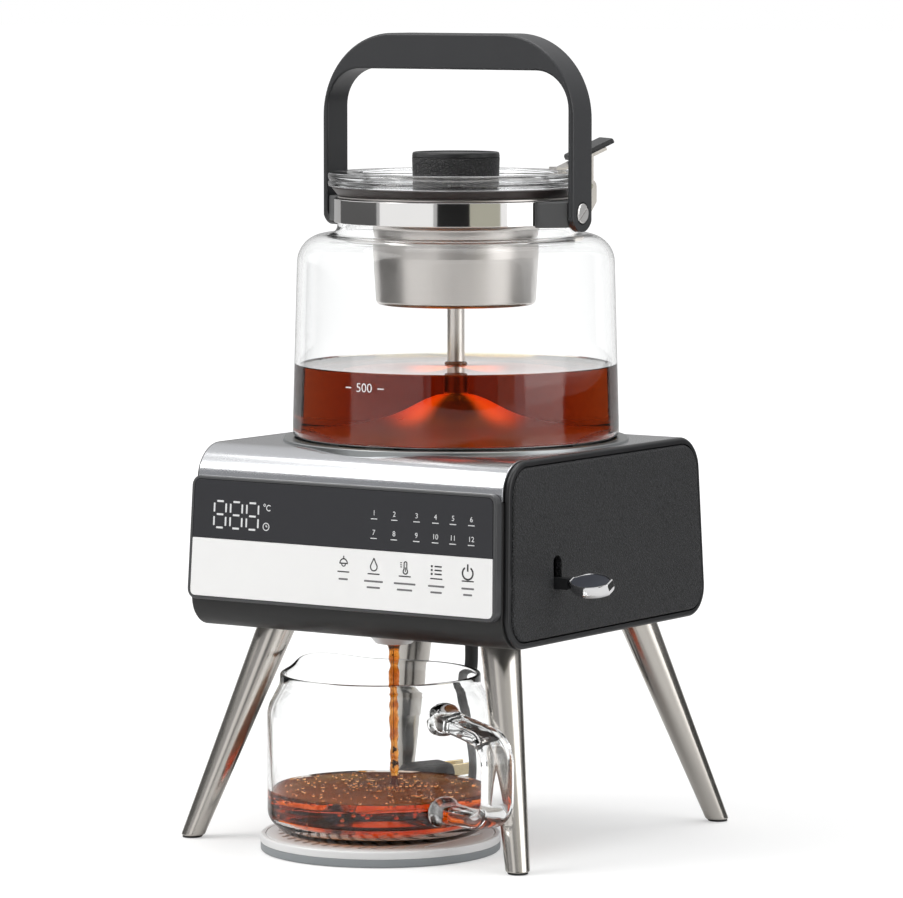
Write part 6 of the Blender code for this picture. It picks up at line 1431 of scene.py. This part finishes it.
class TEA_OT_pitcher(bpy.types.Operator):
    """Blow the pitcher with its pouring lip, and join its handle."""

    bl_idname = "teamaker.pitcher"
    bl_label = "Pitcher"

    def execute(self, context):
        bm = lathe([(0, 0), (48, 0, 9), (56, 8, 8), (56, 62, 14), (49.8, 74, 6), (49.6, 79.5, 1.0),
                    (47.8, 79.5, 1.0), (47.4, 74, 6), (53.8, 62, 14), (53.8, 9, 8), (47, 4.0, 7), (0, 4.0)],
                   sides=192)
        bmesh.ops.bisect_plane(bm, geom=bm.verts[:] + bm.edges[:] + bm.faces[:], plane_co=(0, 0, 58),
                               plane_no=(0, 0, 1))
        for vert in bm.verts:
            lip_pull(vert)
        piece("pitcher_blown", moved(bm, (0, 0, PITCHER_Z)), blown_look(), "pitcher", ["pitcher_glass"], "glass",
              firm=False, crease=60)
        line = [(54.6, 62.4, 9.4, 8.2), (57.0, 62.4, 9.2, 8.0), (59.2, 62.2, 8.0, 6.4), (62, 61.8, 7.7, 4.6),
                (70, 61.0, 7.8, 4.1), (80, 59.8, 8.0, 4.1)]
        line += [(87 + 14.2 * math.sin(math.radians(t)), 45 + 13.8 * math.cos(math.radians(t)), 8.2, 4.2)
                 for t in range(20, 91, 10)]
        line += [(101.3, 38, 8.2, 4.2), (101.2, 32, 8.2, 4.2)]
        line += [(87.2 + 14 * math.cos(math.radians(t)), 29 - 11.6 * math.sin(math.radians(t)), 8.2, 4.2)
                 for t in range(10, 91, 10)]
        line += [(72, 17.0, 7.8, 4.1), (63, 16.8, 7.7, 4.6), (59.4, 16.8, 7.9, 6.0), (57.2, 16.9, 8.8, 7.4),
                 (54.8, 17.0, 9.0, 7.6)]
        bm = strap(line)
        turn = Matrix.Translation((0, 0, PITCHER_Z)) @ Matrix.Rotation(math.radians(-22), 4, "Z")
        piece("pitcher_grip", placed(bm, turn), glass_look(), "pitcher", ["pitcher_handle"], "glass",
              firm=False, crease=60)
        return {"FINISHED"}


def lip_pull(vert):
    """Draw a point near the pitcher's rim out and up into the pouring lip."""
    root = 79.5 * 0.72
    if vert.co.z <= root:
        return
    rise = (vert.co.z - root) / (79.5 - root)
    offset = math.atan2(vert.co.y, vert.co.x) - math.radians(158)
    offset = (offset + math.pi) % TURN - math.pi
    pull = rise * rise * math.exp(-(offset / math.radians(20)) ** 2)
    outward = Vector((vert.co.x, vert.co.y, 0)).normalized()
    vert.co += outward * 11.5 * pull
    vert.co.z += 3.0 * pull


class TEA_OT_tea(bpy.types.Operator):
    """Fill the kettle and the pitcher, and pour the stream between them."""

    bl_idname = "teamaker.tea"
    bl_label = "Tea"

    def execute(self, context):
        sizes = context.scene.tea_sizes
        tints = context.scene.tea_finishes
        fill = sizes.kettle_fill / MM
        strong = clear_look("kettle_tea", (1, 1, 1), 1.33, (0.97, 0.80, 0.55), wave=0.05, density=120,
                            through=tints.kettle_tea, gloss=0.05)
        wall = 79.7 - 2.8 * (fill - 3) / 93
        bm = lathe([(0, 1.0), (79.6, 1.0, 0.3), (79.85, 5.9), (wall + 0.15, fill + 2.3), (wall - 1.2, fill + 1.6, 1),
                    (6.2, fill + 1.6, 0.6), (4.6, fill + 2.3, 0.4), (4.3, fill), (0, fill)],
                   (0, KETTLE_Y, KETTLE_Z), 144)
        piece("kettle_tea", bm, strong, "kettle", firm=False)
        level = sizes.pitcher_fill / MM
        weak = clear_look("pitcher_tea", (1, 1, 1), 1.33, (0.93, 0.60, 0.28), wave=0.7, density=105,
                          through=tints.pitcher_tea, gloss=0.05, swirl=(0.66, 0.30, 0.05))
        bm = lathe([(0, 4.2), (46.9, 4.2, 7), (53.9, 9, 8), (53.95, level - PITCHER_Z + 0.9),
                    (52.8, level - PITCHER_Z, 0.6), (38, level - PITCHER_Z), (20, level - PITCHER_Z),
                    (0, level - PITCHER_Z)], (0, 0, PITCHER_Z), 144)
        bmesh.ops.triangulate(bm, faces=bm.faces)
        piece("pitcher_tea", bm, weak, "pitcher", firm=False, crease=60)
        froth = look("froth").copy()
        froth.name = "tea_froth"
        shader = froth.node_tree.nodes["Principled BSDF"]
        shader.inputs["Specular IOR Level"].default_value = 0.0
        shader.inputs["Alpha"].default_value = 0.48
        disc = lathe([(0, level + 0.05), (52.6, level + 0.05), (52.6, level + 0.2), (0, level + 0.2)], sides=96)
        piece("tea_froth", disc, froth, "pitcher", firm=False)
        self.bubbles(level)
        self.stream(sizes, level)
        return {"FINISHED"}

    def bubbles(self, level):
        """Small bubbles on and under the tea that the stream stirs up."""
        random.seed(11)
        spread = [(random.uniform(-1, 1), random.uniform(-1, 1)) for _ in range(420)]
        bm = bmesh.new()
        for k, (x, y) in enumerate(spread):
            if x * x + y * y > 1:
                continue
            reach = 50 if k % 3 else 22
            size = random.uniform(0.35, 1.0) * (1.6 if k % 11 == 0 else 1)
            height = level + random.uniform(0.3, 0.9) if k % 4 else level - random.uniform(1.5, 14)
            place = Matrix.Translation((x * reach, y * reach + (NOZZLE_Y if reach < 50 else 0), height))
            bmesh.ops.create_icosphere(bm, subdivisions=2, radius=size, matrix=place)
        look_of = clear_look("tea_bubbles", (1.0, 0.70, 0.38), 1.40, (0.95, 0.75, 0.5), wave=0.01, gloss=0.5)
        piece("tea_bubbles", bm, look_of, "pitcher", firm=False, crease=60)

    def stream(self, sizes, level):
        amber = clear_look("poured_tea", (1.0, 0.80, 0.45), 1.33, (0.9, 0.6, 0.3), wave=0.12, density=800,
                           through=(0.86, 0.62, 0.05), swirl=(0.55, 0.24, 0.05))
        top = low("nozzle").z + 2.0
        width = sizes.stream_width / MM / 2
        random.seed(7)
        points, radii = [], []
        count = 60
        for k in range(count + 1):
            share = k / count
            z = top + (level - 1.0 - top) * share
            points.append((0.35 * math.sin(share * 9) * share, NOZZLE_Y + 0.3 * math.sin(share * 11 + 1) * share, z))
            twist = 0.15 * math.sin(share * 60) + 0.10 * math.sin(share * 23 + 1)
            radii.append(width * (1 - 0.42 * share ** 0.6) * (1 + twist + random.uniform(-0.12, 0.12)))
        radii[-2:] = [radii[-3] * 1.3, radii[-3] * 1.9]
        bm = tube(points, radii, sides=20)
        for _ in range(2):
            bmesh.ops.smooth_vert(bm, verts=bm.verts, factor=0.4, use_axis_x=True, use_axis_y=True)
        poured = piece("tea_stream", bm, amber, "base", firm=False, crease=80)
        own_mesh(poured)


class TEA_PT_maker(bpy.types.Panel):
    """Shows the tea maker's settings and the buttons for its steps."""

    bl_idname = "TEA_PT_maker"
    bl_label = "Tea Maker"
    bl_space_type = "VIEW_3D"
    bl_region_type = "UI"
    bl_category = "Tea Maker"

    def draw(self, context):
        for group in (context.scene.tea_finishes, context.scene.tea_sizes, context.scene.tea_studio):
            column = self.layout.column()
            for key in group.__annotations__:
                column.prop(group, key)
        for step in STEPS:
            self.layout.operator(step.bl_idname)


GROUPS = {"tea_finishes": TeaFinishes, "tea_sizes": TeaSizes, "tea_studio": TeaStudio}
STEPS = (TEA_OT_stage, TEA_OT_lead, TEA_OT_housing, TEA_OT_panel, TEA_OT_seat, TEA_OT_spout, TEA_OT_tap,
         TEA_OT_legs, TEA_OT_kettle, TEA_OT_handle, TEA_OT_brewer, TEA_OT_lid, TEA_OT_tray, TEA_OT_pitcher,
         TEA_OT_tea)


def register():
    for kind in (*GROUPS.values(), *STEPS, TEA_PT_maker):
        bpy.utils.register_class(kind)
    for name, kind in GROUPS.items():
        setattr(bpy.types.Scene, name, PointerProperty(type=kind))


def unregister():
    for name in GROUPS:
        delattr(bpy.types.Scene, name)
    for kind in reversed((*GROUPS.values(), *STEPS, TEA_PT_maker)):
        bpy.utils.unregister_class(kind)


def main():
    register()
    for step in STEPS:
        group, name = step.bl_idname.split(".")
        getattr(getattr(bpy.ops, group), name)()


if __name__ == "__main__":
    main()
